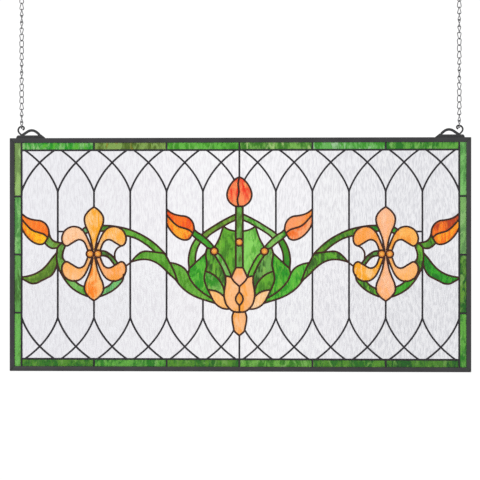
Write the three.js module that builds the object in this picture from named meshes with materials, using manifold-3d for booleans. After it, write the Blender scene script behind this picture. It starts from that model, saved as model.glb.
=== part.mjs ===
// A stained glass window panel made the copper foil way: panes of glass cut to a drawing,
// joined edge to edge by beads of solder, in a frame of four mitred zinc channels.
// A scroll hanger stands at each top corner, and a curb chain goes up from it to a ring.
//
// Millimetres, +Z up, and the front looks along -Y. The origin is what the panel hangs
// from: halfway between the tops of the insides of the two rings.
//
// The drawing is the same on both sides of its middle. Its points are [out, up]: how far
// out from the middle of the panel, and how far up from it.
import * as THREE from "three";
import { mergeVertices } from "three/addons/utils/BufferGeometryUtils.js";
import Module from "manifold-3d";

const wasm = await Module();
wasm.setup();

// Frame: a channel, open towards the glass, that covers the panel's edge on both faces.
const PANEL_WIDTH = 610;
const PANEL_HEIGHT = 309;
const FRAME_FACE = 6.35;
const FRAME_DEPTH = 6.4;
const CHANNEL_WALL = 0.8;
const MITRE_GAP = 0.15;

// Glass, and the solder that holds it.
const GLASS_THICKNESS = 3;
const GLASS_GAP = 0.3;
const SOLDER_DEPTH = 4.6;
const LINE_WIDTH = 2.4;
const RIM_WIDTH = 1.2;
const RIM_INSET = 1.8;

// The drawing's field inside the green border, and the gothic lattice that fills it.
const FIELD_OUT = 289.4;
const FIELD_UP = 138.3;
const BAYS = 12;
const PITCH = (2 * FIELD_OUT) / BAYS;
const SPRING_UP = 83.5;
const SIDE_STRIPS = 4;
const TOP_STRIPS = 6;

// Round jewels.
const JEWEL_LINE_RADIUS = 5.2;
const JEWEL_LINE_WIDTH = 1.4;
const JEWEL_SIDES = 8;

// Hangers: a strap curled into an eye, and a heavier bow behind it, over a plate on the
// frame.
const HANGER_DEPTH = 2.4;
const EYE_WIDTH = 2.2;
const BOW_WIDTH = 3.5;
const EYE_OUT = 289.5;

// Chains: each link is a loop of wire, twisted so that the next one lies flat beside it.
// The chain as a whole turns slowly the other way.
const LINKS = 21;
const LINK_PITCH = 8.3;
const LINK_WIDTH = 6.3;
const LINK_WIRE = 1.2;
const LINK_TWIST = -Math.PI / 2;
const TURN_PER_LINK = Math.PI / 8;
const FIRST_TURN = -0.4 * TURN_PER_LINK;
const LINK_OVERLAP = 0.12;
const CHAIN_FOOT_UP = 167.8;
const RING_INNER = 10.6;
const RING_WIRE = 2;
const RING_TURN = THREE.MathUtils.degToRad(40);
const RING_GAP = 0.5;
const RING_FOOT_UP = CHAIN_FOOT_UP + LINKS * LINK_PITCH - RING_GAP;
const DROP = RING_FOOT_UP + RING_INNER;

// How finely curves are faceted: a facet turns by this much, or is this long.
const FACET_TURN = THREE.MathUtils.degToRad(45);
const FACET_LENGTH = 120;
const SMALLEST_DETAIL = 0.15;

// ---- Solids -------------------------------------------------------------------------

// A closed geometry as a solid that can be joined and cut.
function solidOf(geometry) {
  geometry.deleteAttribute("normal");
  geometry.deleteAttribute("uv");
  const merged = mergeVertices(geometry, 1e-4);
  return new wasm.Manifold(
    new wasm.Mesh({
      numProp: 3,
      vertProperties: new Float32Array(merged.attributes.position.array),
      triVerts: new Uint32Array(merged.index.array),
    }),
  );
}

function geometryOf(solid) {
  const mesh = solid.getMesh();
  const geometry = new THREE.BufferGeometry();
  geometry.setAttribute("position", new THREE.BufferAttribute(mesh.vertProperties, 3));
  geometry.setIndex(new THREE.BufferAttribute(mesh.triVerts, 1));
  return geometry;
}

// A flat shape, drawn in x and z, as a plate from one depth to another.
function plate(shape, front, back) {
  const settings = { depth: back - front, bevelEnabled: false, curveSegments: JEWEL_SIDES / 2 };
  return new THREE.ExtrudeGeometry(shape, settings).rotateX(Math.PI / 2).translate(0, back, 0);
}

function centredPlate(shape, depth) {
  return plate(shape, -depth / 2, depth / 2);
}

// ---- Curves -------------------------------------------------------------------------

// The part of a curve between two of its parameters, as few points that follow it: they
// lie closer where it turns more.
function facets(curve, from = 0, to = 1) {
  const fine = 60;
  const samples = Array.from({ length: fine + 1 }, (_, i) =>
    curve.getPoint(from + ((to - from) * i) / fine),
  );
  const effort = [0];
  for (let i = 1; i <= fine; i++) {
    const here = samples[i].clone().sub(samples[i - 1]);
    const next = i < fine ? samples[i + 1].clone().sub(samples[i]) : here;
    const turn = Math.abs(Math.atan2(here.cross(next), here.dot(next)));
    effort.push(effort[i - 1] + turn / FACET_TURN + here.length() / FACET_LENGTH);
  }
  const count = Math.max(1, Math.round(effort[fine]));
  const points = [];
  for (let k = 0; k < count; k++) {
    points.push(samples[effort.findIndex((e) => e >= (effort[fine] * k) / count)]);
  }
  points.push(samples[fine]);
  return points;
}

// A row of points, with its two ends drawn out by a distance.
function drawnOut(points, distance) {
  const drawn = points.map((point) => point.clone());
  const start = points[0].clone().sub(points[1]).setLength(distance);
  const finish = points.at(-1).clone().sub(points.at(-2)).setLength(distance);
  drawn[0].add(start);
  drawn.at(-1).add(finish);
  return drawn;
}

// The outline of a strip of one width along a row of points, mitred where it bends.
function strip(points, width) {
  const half = width / 2;
  const directions = points.slice(1).map((p, i) => p.clone().sub(points[i]).normalize());
  const sides = [[], []];
  points.forEach((point, i) => {
    const before = directions[Math.max(i - 1, 0)];
    const after = directions[Math.min(i, directions.length - 1)];
    const along = before.clone().add(after).normalize();
    const reach = half / along.dot(after);
    sides[0].push(new THREE.Vector2(point.x - along.y * reach, point.y + along.x * reach));
    sides[1].push(new THREE.Vector2(point.x + along.y * reach, point.y - along.x * reach));
  });
  return new THREE.Shape([...sides[1], ...sides[0].reverse()]);
}

function ringShape(out, up, radius, width) {
  const shape = new THREE.Shape().absarc(out, up, radius + width / 2, 0, 2 * Math.PI);
  shape.holes.push(new THREE.Path().absarc(out, up, radius - width / 2, 0, 2 * Math.PI, true));
  return shape;
}

// ---- The drawing --------------------------------------------------------------------

// Lines where the solder goes right through between two panes, and lines that are a bead
// on each face of glass that is one piece here.
const cuts = [];
const beads = [];

function place(list, curve, from = 0, to = 1, width = LINE_WIDTH) {
  list.push({ points: facets(curve, from, to), width });
}

function curveThrough(points) {
  return new THREE.SplineCurve(points.map(([x, z]) => new THREE.Vector2(x, z)));
}

function mirrored(points) {
  return points.map(([out, up]) => [-out, up]);
}

// A line through points, and its mirror image. It is a cut, but a bead from one of its
// points to another where "bead" names them.
function line(points, bead = [0, 0]) {
  const last = points.length - 1;
  const [first, second] = bead;
  for (const side of [points, mirrored(points)]) {
    const curve = curveThrough(side);
    if (first > 0 || second === 0) {
      place(cuts, curve, 0, second === 0 ? 1 : first / last);
    }
    if (second > 0) {
      place(beads, curve, first / last, second / last);
    }
    if (second > 0 && second < last) {
      place(cuts, curve, second / last, 1);
    }
  }
}

function bead(points) {
  line(points, [0, points.length - 1]);
}

function middleLine(list, points) {
  place(list, curveThrough(points));
}

const jewelPlaces = [];
function jewel(name, x, up) {
  jewelPlaces.push({ name, x, up });
}

// The rim of solder on the panel's edge, hidden in the channel, and the border's lines.
function drawBorder() {
  const out = PANEL_WIDTH / 2 - RIM_INSET;
  const up = PANEL_HEIGHT / 2 - RIM_INSET;
  const rims = [
    [[-out, up], [out, up]],
    [[-out, -up], [out, -up]],
    [[-out, -up], [-out, up]],
    [[out, -up], [out, up]],
  ];
  for (const rim of rims) {
    place(cuts, curveThrough(rim), 0, 1, RIM_WIDTH);
  }
  line([[FIELD_OUT, -up], [FIELD_OUT, up]]);
  middleLine(cuts, [[-FIELD_OUT, FIELD_UP], [FIELD_OUT, FIELD_UP]]);
  middleLine(cuts, [[-FIELD_OUT, -FIELD_UP], [FIELD_OUT, -FIELD_UP]]);
  for (let i = 1; i < SIDE_STRIPS; i++) {
    const joint = (i / SIDE_STRIPS - 0.5) * PANEL_HEIGHT;
    bead([[FIELD_OUT, joint], [out, joint]]);
  }
  for (let i = 1; i < TOP_STRIPS; i++) {
    const joint = (i / TOP_STRIPS - 0.5) * 2 * FIELD_OUT;
    middleLine(beads, [[joint, FIELD_UP], [joint, up]]);
    middleLine(beads, [[joint, -FIELD_UP], [joint, -up]]);
  }
}

// A lattice of uprights, one to a bay, that spring into crossed arcs above and below.
function drawLattice() {
  const rise = [10.5, 31.5];
  const reach = [43.7, FIELD_UP - SPRING_UP];
  for (let i = 0; i <= BAYS / 2; i++) {
    const foot = i * PITCH;
    const start = i === 0 ? 0.27 : 0;
    const ways = [-1, 1].filter((way) => (way < 0 ? i > 0 : i < BAYS / 2));
    for (const way of ways) {
      for (const end of [-1, 1]) {
        for (const side of [-1, 1]) {
          const point = ([across, above]) =>
            new THREE.Vector2(side * (foot + way * across), end * (SPRING_UP + above));
          const arc = new THREE.QuadraticBezierCurve(point([0, 0]), point(rise), point(reach));
          place(beads, arc, start, 1);
        }
      }
    }
  }
  const uprights = [
    [1, SPRING_UP, 28.4],
    [1, -59.6, -SPRING_UP],
    [2, SPRING_UP, 60.3],
    [2, 41.8, -2],
    [2, -22.5, -SPRING_UP],
    [3, SPRING_UP, 33],
    [3, 23.8, -SPRING_UP],
    [4, SPRING_UP, 63.2],
    [4, -61.2, -SPRING_UP],
    [5, SPRING_UP, 16.3],
    [5, -15, -SPRING_UP],
  ];
  for (const [bay, top, bottom] of uprights) {
    bead([[bay * PITCH, top], [bay * PITCH, bottom]]);
  }
  middleLine(beads, [[0, FIELD_UP], [0, 102.6]]);
  middleLine(beads, [[0, -107.2], [0, -FIELD_UP]]);
}

// A flower of six petals: it is the same above and below, and to the left and right of,
// its own middle.
const FLOWER = { out: 4 * PITCH, up: 1 };
function drawFlower() {
  const tall = [[0, 62.2], [7, 57], [12.3, 49], [12, 40], [8.1, 30.3], [4.7, 21], [2.8, 12.5], [1.4, 4.8]];
  const curled = [
    [2.5, 5.2], [8.8, 21], [14, 30], [21, 35.2], [30, 35.8], [38.5, 31], [42.7, 22],
    [41.3, 13.8], [36.3, 10.4], [29.5, 14], [20.5, 18.7], [13, 15.5], [8.3, 4.6],
  ];
  for (const across of [-1, 1]) {
    for (const over of [-1, 1]) {
      for (const edge of [tall, curled]) {
        line(edge.map(([x, z]) => [FLOWER.out + across * x, FLOWER.up + over * z]));
      }
    }
  }
  // The ring of leaf behind the petals.
  line([[241.6, 9.2], [242.7, 0], [242.2, -10], [239.6, -19], [235.8, -26.5], [231, -34.5], [223.5, -43.3], [215, -49.5], [207, -53.4], [201.6, -55.4]], [1, 2]);
  line([[231, 11.9], [234.2, 3], [234.4, -4.5], [230.6, -10]]);
  line([[220.4, -33.2], [213, -39.5], [204.6, -43.4]]);
  line([[153.4, -26.6], [154.9, -34.5], [162.4, -43.3], [170.9, -49.5], [179, -53.4], [184.2, -55.4]]);
  line([[165.6, -33], [172.5, -40.6], [181.4, -45.6]]);
  line([[209.3, 32.5], [204.3, 36.4]]);
  line([[205.2, 27.7], [200.6, 29.4]]);
  line([[184.9, 31], [179, 31]]);
  // The curl from the inner jewel to the lower petal, and the line that ties it above.
  line([[183.6, 5], [178, 4.3], [172.5, 1.2], [167.5, -3], [161, -11.8]]);
  line([[182.8, -1.4], [177.5, -2.2], [172, -5.6], [165.3, -14.3]]);
  bead([[157.3, 11.3], [162.5, 7.6], [165.3, 1.5], [164.9, -5.6]]);
  bead([[4 * PITCH + 41, 30.5], [5 * PITCH, 30.5]]);
}

// A bud in two halves, drawn from its tip.
function drawBud(out, up) {
  const at = (points) => points.map(([across, above]) => [out - across, up + above]);
  line(at([[0, 0], [5.2, -4.4], [11.5, -7.3], [19, -8.9], [25.5, -9.8], [31.5, -13.3], [35.5, -19.5], [36.8, -27]]));
  line(at([[0, -18.5], [3, -25], [7.8, -31.5], [13.8, -37], [20.5, -40.4], [26.5, -41], [30.8, -39]]));
  line(at([[36.8, -27], [34.5, -33], [30.8, -39]]));
  bead(at([[0.5, -8], [5, -13.3], [10.5, -19.2], [16.5, -23.3], [24, -25.6], [30, -27.8], [34.6, -31.8]]));
}

// The bud, stem and leaf that join the flower to the border.
function drawOuterSpray() {
  drawBud(FIELD_OUT, 54.5);
  line([[252.6, 27.5], [250.3, 21.5], [246, 17.6], [241, 16.2], [234.6, 15.2]]);
  line([[258.6, 15.5], [254.5, 11.2], [249.5, 8.4], [245.5, 8.2], [241.6, 9.2]]);
  bead([[241.6, 9.2], [238.5, 13], [235.2, 15.2]]);
  line([[242.6, 2.5], [248.5, -4.5], [255.5, -13.5], [263, -20.7], [272, -25.8], [281, -28.6], [FIELD_OUT, -30]]);
  line([[242, -12], [244.5, -20], [249.5, -27.5], [257, -31.8], [263, -34.8], [269.5, -38], [276.5, -38.4], [283, -35.4], [FIELD_OUT, -31.5]]);
}

// The long stem from the flower, that ends in a leaf and a second leaf under it.
function drawScroll() {
  line([[180.8, 38.5], [171, 38.2], [160, 36.6], [150, 34.4], [140, 31], [130, 26.3], [120, 20.4], [111, 13.6], [104, 7], [98.5, 0.8], [92.3, -10.6], [89.8, -15], [86, -23.5], [81.8, -35.4]], [10, 13]);
  line([[150.6, 25], [144, 23.6], [136, 20.8], [128, 16.2], [120, 10.5], [112, 3.6]]);
  line([[143.5, -9.8], [138, -3.3], [132, 2], [125.5, 4.4], [118, 3.9], [112, 3.3], [104, 2.2], [99, 1.4]], [5, 7]);
  line([[143.5, -9.8], [135, -7.4], [126, -6.4], [117.5, -7.6], [109, -11.4], [101, -17.6], [92, -26.6], [84.5, -33.4], [78.5, -41], [71.5, -47.6], [63, -53.2], [53, -57.8], [43, -61], [32.2, -64.4]]);
  line([[92.3, -10.6], [85, -12], [78, -14.8], [72, -19], [68, -25.3], [64.5, -33.5], [58, -42], [50, -49.2], [43.5, -53.7], [35.4, -58.4]]);
  bead([[150.4, -15.3], [143.5, -9.8]]);
}

// The fan of leaves and stems on each side of the middle.
function drawFan() {
  drawBud(2 * PITCH, 60.3);
  line([[2 * PITCH, 60.3], [2 * PITCH, 41.8]]);
  line([[59.7, 33], [55, 29], [50.2, 26.2], [44, 21.3], [38.5, 16], [33.2, 9.8]], [2, 3]);
  line([[62.6, 26.2], [57.5, 21.3], [51.4, 16.8], [46, 12.6], [42.6, 9.2]], [1, 2]);
  bead([[42.6, 9.2], [37.6, 7.4]]);
  line([[4.7, 53.6], [13, 49.6], [24, 43.8], [35, 37], [45, 30.6], [50.2, 26.2]]);
  line([[4.7, 45.6], [12, 42.6], [21.5, 37.2], [31, 31.6], [39, 26.2], [44, 21.3]]);
  line([[57.5, 21.3], [62.5, 13], [66, 3], [67.4, -8], [66.6, -18.5], [67.8, -25.3]]);
  line([[51.4, 16.8], [55.3, 8.8], [57.8, 0], [58.4, -10.3]]);
  line([[66.6, -18.5], [58.4, -11], [51.5, -4.6], [45.2, 1.5]], [0, 1]);
  line([[42.6, 9.2], [44.8, 1.5], [43.6, -7], [43.3, -14.5], [45.6, -24], [46.4, -33], [44, -41], [41.5, -46.6]], [1, 7]);
  bead([[44.8, -22], [38, -24.5], [31.5, -28.8], [26, -34.5], [22, -41.5], [20, -48.5]]);
  bead([[33, -0.8], [29.5, -6], [25.5, -12.5], [22, -19.5], [18.4, -28.4]]);
  bead([[28.6, 2], [24.5, -1.5], [20, -8.2], [16, -16], [12.6, -23.5], [10.6, -30.2]]);
  line([[21.2, 37.3], [23.3, 31], [26, 23], [29.3, 16], [33.2, 9.8]]);
  line([[21.2, 37.3], [15, 33.6], [9.5, 31.8], [4.7, 31]]);
}

// The stem in the middle, with the tulip at its top.
function drawTulip() {
  line([[0, 102.6], [4.8, 100.2], [9.4, 95.6], [13.8, 88.8], [16.3, 81], [15.6, 74], [12.3, 68.6], [7.6, 65], [4.7, 63.6]]);
  middleLine(cuts, [[-4.7, 63.8], [4.7, 63.8]]);
  middleLine(beads, [[0, 102.6], [-1.6, 93], [-0.6, 83], [-2.6, 72], [-0.9, 64]]);
  line([[4.7, 63.8], [4.7, 18.6]]);
  line([[4.7, 14.2], [4.7, -17.2]]);
  middleLine(cuts, [[-4.7, -17.2], [4.7, -17.2]]);
}

// The open flower under it.
function drawLotus() {
  line([[4.7, -17.2], [7.6, -23.2], [10.6, -30.2]]);
  bead([[10.6, -30.2], [7, -35.6], [0, -42]]);
  line([[10.6, -30.2], [14.3, -28.8], [18.4, -28.4]]);
  line([[18.4, -28.4], [18.2, -37], [19.8, -47], [20.2, -55.5], [17.6, -65.4], [12.6, -71.8], [7.4, -75.3], [0, -76.2]], [6, 7]);
  middleLine(beads, [[0, -42], [0, -49.3]]);
  bead([[0, -49.3], [3.6, -54], [4.9, -59], [3.2, -63.6], [0, -67.2]]);
  middleLine(beads, [[0, -67.2], [0, -76.2]]);
  line([[41.5, -46.6], [33.5, -47.6], [26.5, -50.4], [20.2, -55.5]]);
  line([[41.5, -46.6], [38, -54], [34.4, -61], [30, -66.4], [24, -70.3], [17.5, -72], [12.6, -71.8]]);
  line([[7.4, -75.3], [9.5, -81.5], [9.2, -89], [7.8, -96], [6.3, -101.5], [0, -107.2]]);
}

function placeJewels() {
  for (const [side, sign] of [["left", -1], ["right", 1]]) {
    jewel(`jewel_flower_${side}_outer`, sign * (FLOWER.out + JEWEL_LINE_RADIUS), FLOWER.up);
    jewel(`jewel_flower_${side}_inner`, sign * (FLOWER.out - JEWEL_LINE_RADIUS), FLOWER.up);
    jewel(`jewel_fan_${side}`, sign * 33.2, 4.5);
  }
  jewel("jewel_stem", 0, 16.4);
}

drawBorder();
drawLattice();
drawFlower();
drawOuterSpray();
drawScroll();
drawFan();
drawTulip();
drawLotus();
placeJewels();

// ---- Solder and glass ---------------------------------------------------------------

// The web of solder in one piece. The lines over glass that is one piece here are on its
// front only.
function solderWeb() {
  const front = -SOLDER_DEPTH / 2;
  const through = cuts.map(({ points, width }) =>
    solidOf(plate(strip(points, width), front, -front)),
  );
  const rings = jewelPlaces.map(({ x, up }) =>
    solidOf(plate(ringShape(x, up, JEWEL_LINE_RADIUS, JEWEL_LINE_WIDTH), front, -front)),
  );
  const raised = beads.map(({ points, width }) =>
    solidOf(plate(strip(points, width), front, -GLASS_THICKNESS / 2)),
  );
  return wasm.Manifold.union([...through, ...rings, ...raised]);
}

// Every pane: what the lines that go right through leave of one sheet.
function cutPanes() {
  const saw = GLASS_THICKNESS;
  const kerfs = cuts.map(({ points, width }) => {
    const path = drawnOut(points, GLASS_GAP);
    return solidOf(plate(strip(path, width + 2 * GLASS_GAP), -saw, saw));
  });
  for (const { x, up } of jewelPlaces) {
    const ring = ringShape(x, up, JEWEL_LINE_RADIUS, JEWEL_LINE_WIDTH + 2 * GLASS_GAP);
    kerfs.push(solidOf(plate(ring, -saw, saw)));
  }
  const sheet = new THREE.BoxGeometry(
    PANEL_WIDTH - 2 * RIM_INSET,
    GLASS_THICKNESS,
    PANEL_HEIGHT - 2 * RIM_INSET,
  );
  return solidOf(sheet).subtract(wasm.Manifold.union(kerfs)).decompose();
}

// The pane that a needle through one place meets.
function paneAt(panes, x, up) {
  const needle = new THREE.BoxGeometry(0.2, 2 * GLASS_THICKNESS, 0.2).translate(x, 0, up);
  const probe = solidOf(needle);
  return panes.find((pane) => {
    const { min, max } = pane.boundingBox();
    const near = min[0] < x && x < max[0] && min[2] < up && up < max[2];
    return near && pane.intersect(probe).volume() > 0;
  });
}

// ---- Frame, hangers and chains ------------------------------------------------------

// A channel along x, under the panel's lower edge, with its ends mitred.
function channel(length, toEdge) {
  const half = FRAME_DEPTH / 2;
  const slot = half - CHANNEL_WALL;
  const section = new THREE.Shape([
    new THREE.Vector2(-half, 0),
    new THREE.Vector2(half, 0),
    new THREE.Vector2(half, FRAME_FACE),
    new THREE.Vector2(slot, FRAME_FACE),
    new THREE.Vector2(slot, CHANNEL_WALL),
    new THREE.Vector2(-slot, CHANNEL_WALL),
    new THREE.Vector2(-slot, FRAME_FACE),
    new THREE.Vector2(-half, FRAME_FACE),
  ]);
  const rail = new THREE.ExtrudeGeometry(section, { depth: length, bevelEnabled: false });
  rail.translate(0, 0, -length / 2).rotateX(Math.PI / 2).rotateZ(Math.PI / 2);
  const places = rail.attributes.position;
  for (let i = 0; i < places.count; i++) {
    const x = places.getX(i);
    places.setX(i, x - Math.sign(x) * (places.getZ(i) + MITRE_GAP));
  }
  return rail.translate(0, 0, -toEdge);
}

// The middle lines of the eye, from inside its curl to its foot, and of the bow.
const EYE = [
  [288.2, 165.5], [286.7, 166.4], [286.2, 168], [287.1, 169.6], [289.4, 170.1], [292.3, 169],
  [294.1, 165.6], [293.2, 162.2], [291, 159.9], [289, 157.6],
];
const BOW = [
  [289, 158.3], [286.4, 159.9], [283.2, 162.1], [280, 164], [276.6, 164.8], [273.2, 164.4],
  [270.2, 162.9], [267.4, 160.7], [265.6, 158.9],
];
const HANGER_PLATE = [
  [296.8, 154.5], [296.2, 156.8], [294.6, 158.3], [267, 158.3], [263.9, 159.7], [257.3, 154.5],
];

function hanger() {
  const eye = strip(curveThrough(EYE).getPoints(EYE.length + 3), EYE_WIDTH);
  const bow = strip(curveThrough(BOW).getPoints(BOW.length), BOW_WIDTH);
  const foot = new THREE.Shape(HANGER_PLATE.map(([out, up]) => new THREE.Vector2(out, up)));
  return wasm.Manifold.union([eye, bow, foot].map((s) => solidOf(centredPlate(s, HANGER_DEPTH))));
}

// A link of the chain, standing on its foot: a hexagon of three-sided wire, drawn out and
// twisted.
function link(index) {
  const sides = 6;
  const tube = LINK_WIRE / 1.5;
  const radius = LINK_WIDTH / (2 * Math.cos(Math.PI / sides)) - tube;
  const stretch = (LINK_PITCH - LINK_OVERLAP) / 2 - (radius - tube / 2);
  const wire = new THREE.TorusGeometry(radius, tube, 3, sides);
  wire.rotateZ(Math.PI / sides).rotateX(Math.PI / 2).rotateZ(Math.PI / 2);
  const length = 2 * (radius + tube + stretch);
  const places = wire.attributes.position;
  const point = new THREE.Vector3();
  const upright = new THREE.Vector3(0, 0, 1);
  for (let i = 0; i < places.count; i++) {
    point.fromBufferAttribute(places, i);
    point.z += Math.sign(point.z) * stretch;
    const turn = FIRST_TURN + index * TURN_PER_LINK + (LINK_TWIST * point.z) / length;
    point.applyAxisAngle(upright, turn);
    places.setXYZ(i, point.x, point.y, point.z);
  }
  return wire.translate(0, 0, (index + 0.5) * LINK_PITCH);
}

function chain() {
  const links = Array.from({ length: LINKS }, (_, i) => solidOf(link(i)));
  return wasm.Manifold.union(links).translate([EYE_OUT, 0, CHAIN_FOOT_UP]);
}

function ring() {
  const radius = (RING_INNER + RING_WIRE) / 2;
  const hoop = new THREE.TorusGeometry(radius, RING_WIRE / 2, 4, 12);
  hoop.rotateX(Math.PI / 2).rotateZ(RING_TURN);
  return hoop.translate(EYE_OUT, 0, RING_FOOT_UP + RING_INNER / 2);
}

// ---- The whole window ---------------------------------------------------------------

const FINISHES = {
  zinc: { color: "#454545", roughness: 0.5, metalness: 0.8 },
  solder: { color: "#3a393d", roughness: 0.4, metalness: 0.8 },
  steel: { color: "#6b6b6d", roughness: 0.35, metalness: 0.9 },
  clear: { color: "#ecebf1", roughness: 0.1, transparent: true, opacity: 0.4 },
  border: { color: "#5a9a35", roughness: 0.2 },
  leaf: { color: "#4c9a38", roughness: 0.2 },
  peach: { color: "#fdc490", roughness: 0.2 },
  amber: { color: "#ffb84d", roughness: 0.2 },
  orange: { color: "#f2793a", roughness: 0.2 },
  jewel: { color: "#e88a10", roughness: 0.1 },
};

const panel = new THREE.Group();
panel.position.z = -DROP;
const root = new THREE.Group();
root.add(panel);

function add(name, geometry, finish) {
  const mesh = new THREE.Mesh(geometry, new THREE.MeshStandardMaterial(FINISHES[finish]));
  mesh.name = name;
  panel.add(mesh);
}

function addSolid(name, solid, finish) {
  add(name, geometryOf(solid.asOriginal().simplify(SMALLEST_DETAIL)), finish);
}

// Panes in the middle, each with a place on it, and panes that the other side has too.
const LONE_PANES = [
  ["border_glass_top", "border", 30, 146],
  ["border_glass_bottom", "border", 30, -146],
  ["clear_glass_upper", "clear", 120, 100],
  ["clear_glass_lower", "clear", 120, -60],
  ["tulip", "orange", 8, 80],
  ["centre_stem_upper", "leaf", 0, 40],
  ["centre_stem_lower", "leaf", 0, 0],
  ["lotus_heart", "amber", 10, -50],
];
const PAIRED_PANES = [
  ["border_glass", "border", 297, 30],
  ["clear_glass_bay", "clear", 270, -5],
  ["clear_glass_flower", "clear", 218, 0],
  ["petal_top", "peach", 192.9, 45],
  ["petal_bottom", "peach", 192.9, -45],
  ["petal_upper_outer", "peach", 220, 28],
  ["petal_upper_inner", "peach", 165, 28],
  ["petal_lower_outer", "peach", 220, -26],
  ["petal_lower_inner", "amber", 165, -26],
  ["bud_outer", "orange", 270, 30],
  ["bud_inner", "orange", 78, 35],
  ["lotus_petal", "peach", 30, -58],
  ["outer_stem_and_leaf", "leaf", 255, -20],
  ["ring_leaf_outer", "leaf", 215, -45],
  ["ring_leaf_inner", "leaf", 170, -43],
  ["scroll", "leaf", 72, -35],
  ["leaf_fan", "leaf", 12, 10],
];

const panes = cutPanes();
for (const [name, finish, x, up] of LONE_PANES) {
  addSolid(name, paneAt(panes, x, up), finish);
}
for (const [name, finish, out, up] of PAIRED_PANES) {
  addSolid(`${name}_left`, paneAt(panes, -out, up), finish);
  addSolid(`${name}_right`, paneAt(panes, out, up), finish);
}
for (const { name, x, up } of jewelPlaces) {
  addSolid(name, paneAt(panes, x, up), "jewel");
}
addSolid("solder_web", solderWeb(), "solder");

const edgeUp = PANEL_HEIGHT / 2;
const edgeOut = PANEL_WIDTH / 2;
const quarter = Math.PI / 2;
add("frame_bottom", channel(PANEL_WIDTH, edgeUp), "zinc");
add("frame_right", channel(PANEL_HEIGHT, edgeOut).rotateY(-quarter), "zinc");
add("frame_top", channel(PANEL_WIDTH, edgeUp).rotateY(2 * quarter), "zinc");
add("frame_left", channel(PANEL_HEIGHT, edgeOut).rotateY(quarter), "zinc");

const mirror = [-1, 1, 1];
addSolid("hanger_left", hanger().scale(mirror), "zinc");
addSolid("hanger_right", hanger(), "zinc");
addSolid("chain_left", chain().translate([-2 * EYE_OUT, 0, 0]), "steel");
addSolid("chain_right", chain(), "steel");
add("hanging_ring_left", ring().translate(-2 * EYE_OUT, 0, 0), "steel");
add("hanging_ring_right", ring(), "steel");

export default root;
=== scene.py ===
import math
import random

import bmesh
import bpy
import numpy as np
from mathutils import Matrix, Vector, geometry


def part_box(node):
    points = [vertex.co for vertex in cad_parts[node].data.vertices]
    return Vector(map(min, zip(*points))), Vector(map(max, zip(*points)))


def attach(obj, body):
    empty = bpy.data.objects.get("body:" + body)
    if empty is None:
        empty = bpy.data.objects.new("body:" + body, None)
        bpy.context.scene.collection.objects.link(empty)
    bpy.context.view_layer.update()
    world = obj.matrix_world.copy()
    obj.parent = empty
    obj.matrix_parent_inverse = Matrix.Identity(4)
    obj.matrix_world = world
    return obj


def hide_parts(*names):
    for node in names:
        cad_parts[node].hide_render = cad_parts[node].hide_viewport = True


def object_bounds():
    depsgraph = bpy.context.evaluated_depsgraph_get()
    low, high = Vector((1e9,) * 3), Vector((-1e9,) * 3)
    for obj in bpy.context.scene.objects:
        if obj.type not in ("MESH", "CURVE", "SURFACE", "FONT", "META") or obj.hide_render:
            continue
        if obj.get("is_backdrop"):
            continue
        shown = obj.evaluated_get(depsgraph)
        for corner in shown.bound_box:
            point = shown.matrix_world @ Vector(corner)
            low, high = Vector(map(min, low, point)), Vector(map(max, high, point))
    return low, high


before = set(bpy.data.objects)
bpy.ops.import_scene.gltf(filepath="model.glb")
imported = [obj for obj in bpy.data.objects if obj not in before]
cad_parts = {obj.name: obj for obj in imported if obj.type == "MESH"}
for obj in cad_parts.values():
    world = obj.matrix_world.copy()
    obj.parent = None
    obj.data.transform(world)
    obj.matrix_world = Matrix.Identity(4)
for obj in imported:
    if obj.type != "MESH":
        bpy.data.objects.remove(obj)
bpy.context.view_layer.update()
mm = 0.001


# ---- Camera ---------------------------------------------------------------------------
# The viewer stands straight in front of the panel, a step to its right, at the height of
# its upper half. The panel's middle is worked out from its frame.
left_low, left_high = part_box("frame_left")
_, right_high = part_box("frame_right")
middle_up = (left_low.z + left_high.z) / 2
panel_width = right_high.x - left_low.x
panel_height = left_high.z - left_low.z

view_distance = 2.4
view_turn = math.radians(2.3)
view_rise = 19.3 * mm
image_span = 634.6 * mm

camera_data = bpy.data.cameras.new("camera")
camera_data.sensor_width = 36
camera_data.lens = camera_data.sensor_width * view_distance / image_span
camera_data.clip_end = 100
camera = bpy.data.objects.new("camera", camera_data)
bpy.context.scene.collection.objects.link(camera)
aim = Vector((0.8 * mm, 0, middle_up + view_rise))
back = Vector((math.sin(view_turn), -math.cos(view_turn), 0))
camera.location = aim + back * view_distance
camera.rotation_mode = "QUATERNION"
camera.rotation_quaternion = (-back).to_track_quat("-Z", "Y")
bpy.context.scene.camera = camera


# ---- Studio ---------------------------------------------------------------------------
# A pale floor well under the hanging panel, in an even white room, so that the glass is
# lit from behind as well as from the front. Two soft boxes put a sheen on the metal.
def linear(colour):
    """An sRGB hex colour as linear red, green, blue and alpha."""
    parts = [int(colour[i : i + 2], 16) / 255 for i in (1, 3, 5)]
    bent = [p / 12.92 if p <= 0.04045 else ((p + 0.055) / 1.055) ** 2.4 for p in parts]
    return (*bent, 1.0)


def node(tree, kind, inputs=(), **settings):
    """One node with its settings, and its inputs given as values or as other sockets."""
    made = tree.nodes.new(kind)
    for name, value in settings.items():
        setattr(made, name, value)
    for socket, value in dict(inputs).items():
        if isinstance(value, bpy.types.NodeSocket):
            tree.links.new(value, made.inputs[socket])
        else:
            made.inputs[socket].default_value = value
    return made


def new_material(name):
    """An empty node material, and its tree."""
    material = bpy.data.materials.new(name)
    material.use_nodes = True
    material.node_tree.nodes.clear()
    return material, material.node_tree


def finish_material(tree, shader):
    """Joins a shader to the material's output."""
    node(tree, "ShaderNodeOutputMaterial", {"Surface": shader.outputs[0]})


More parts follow.
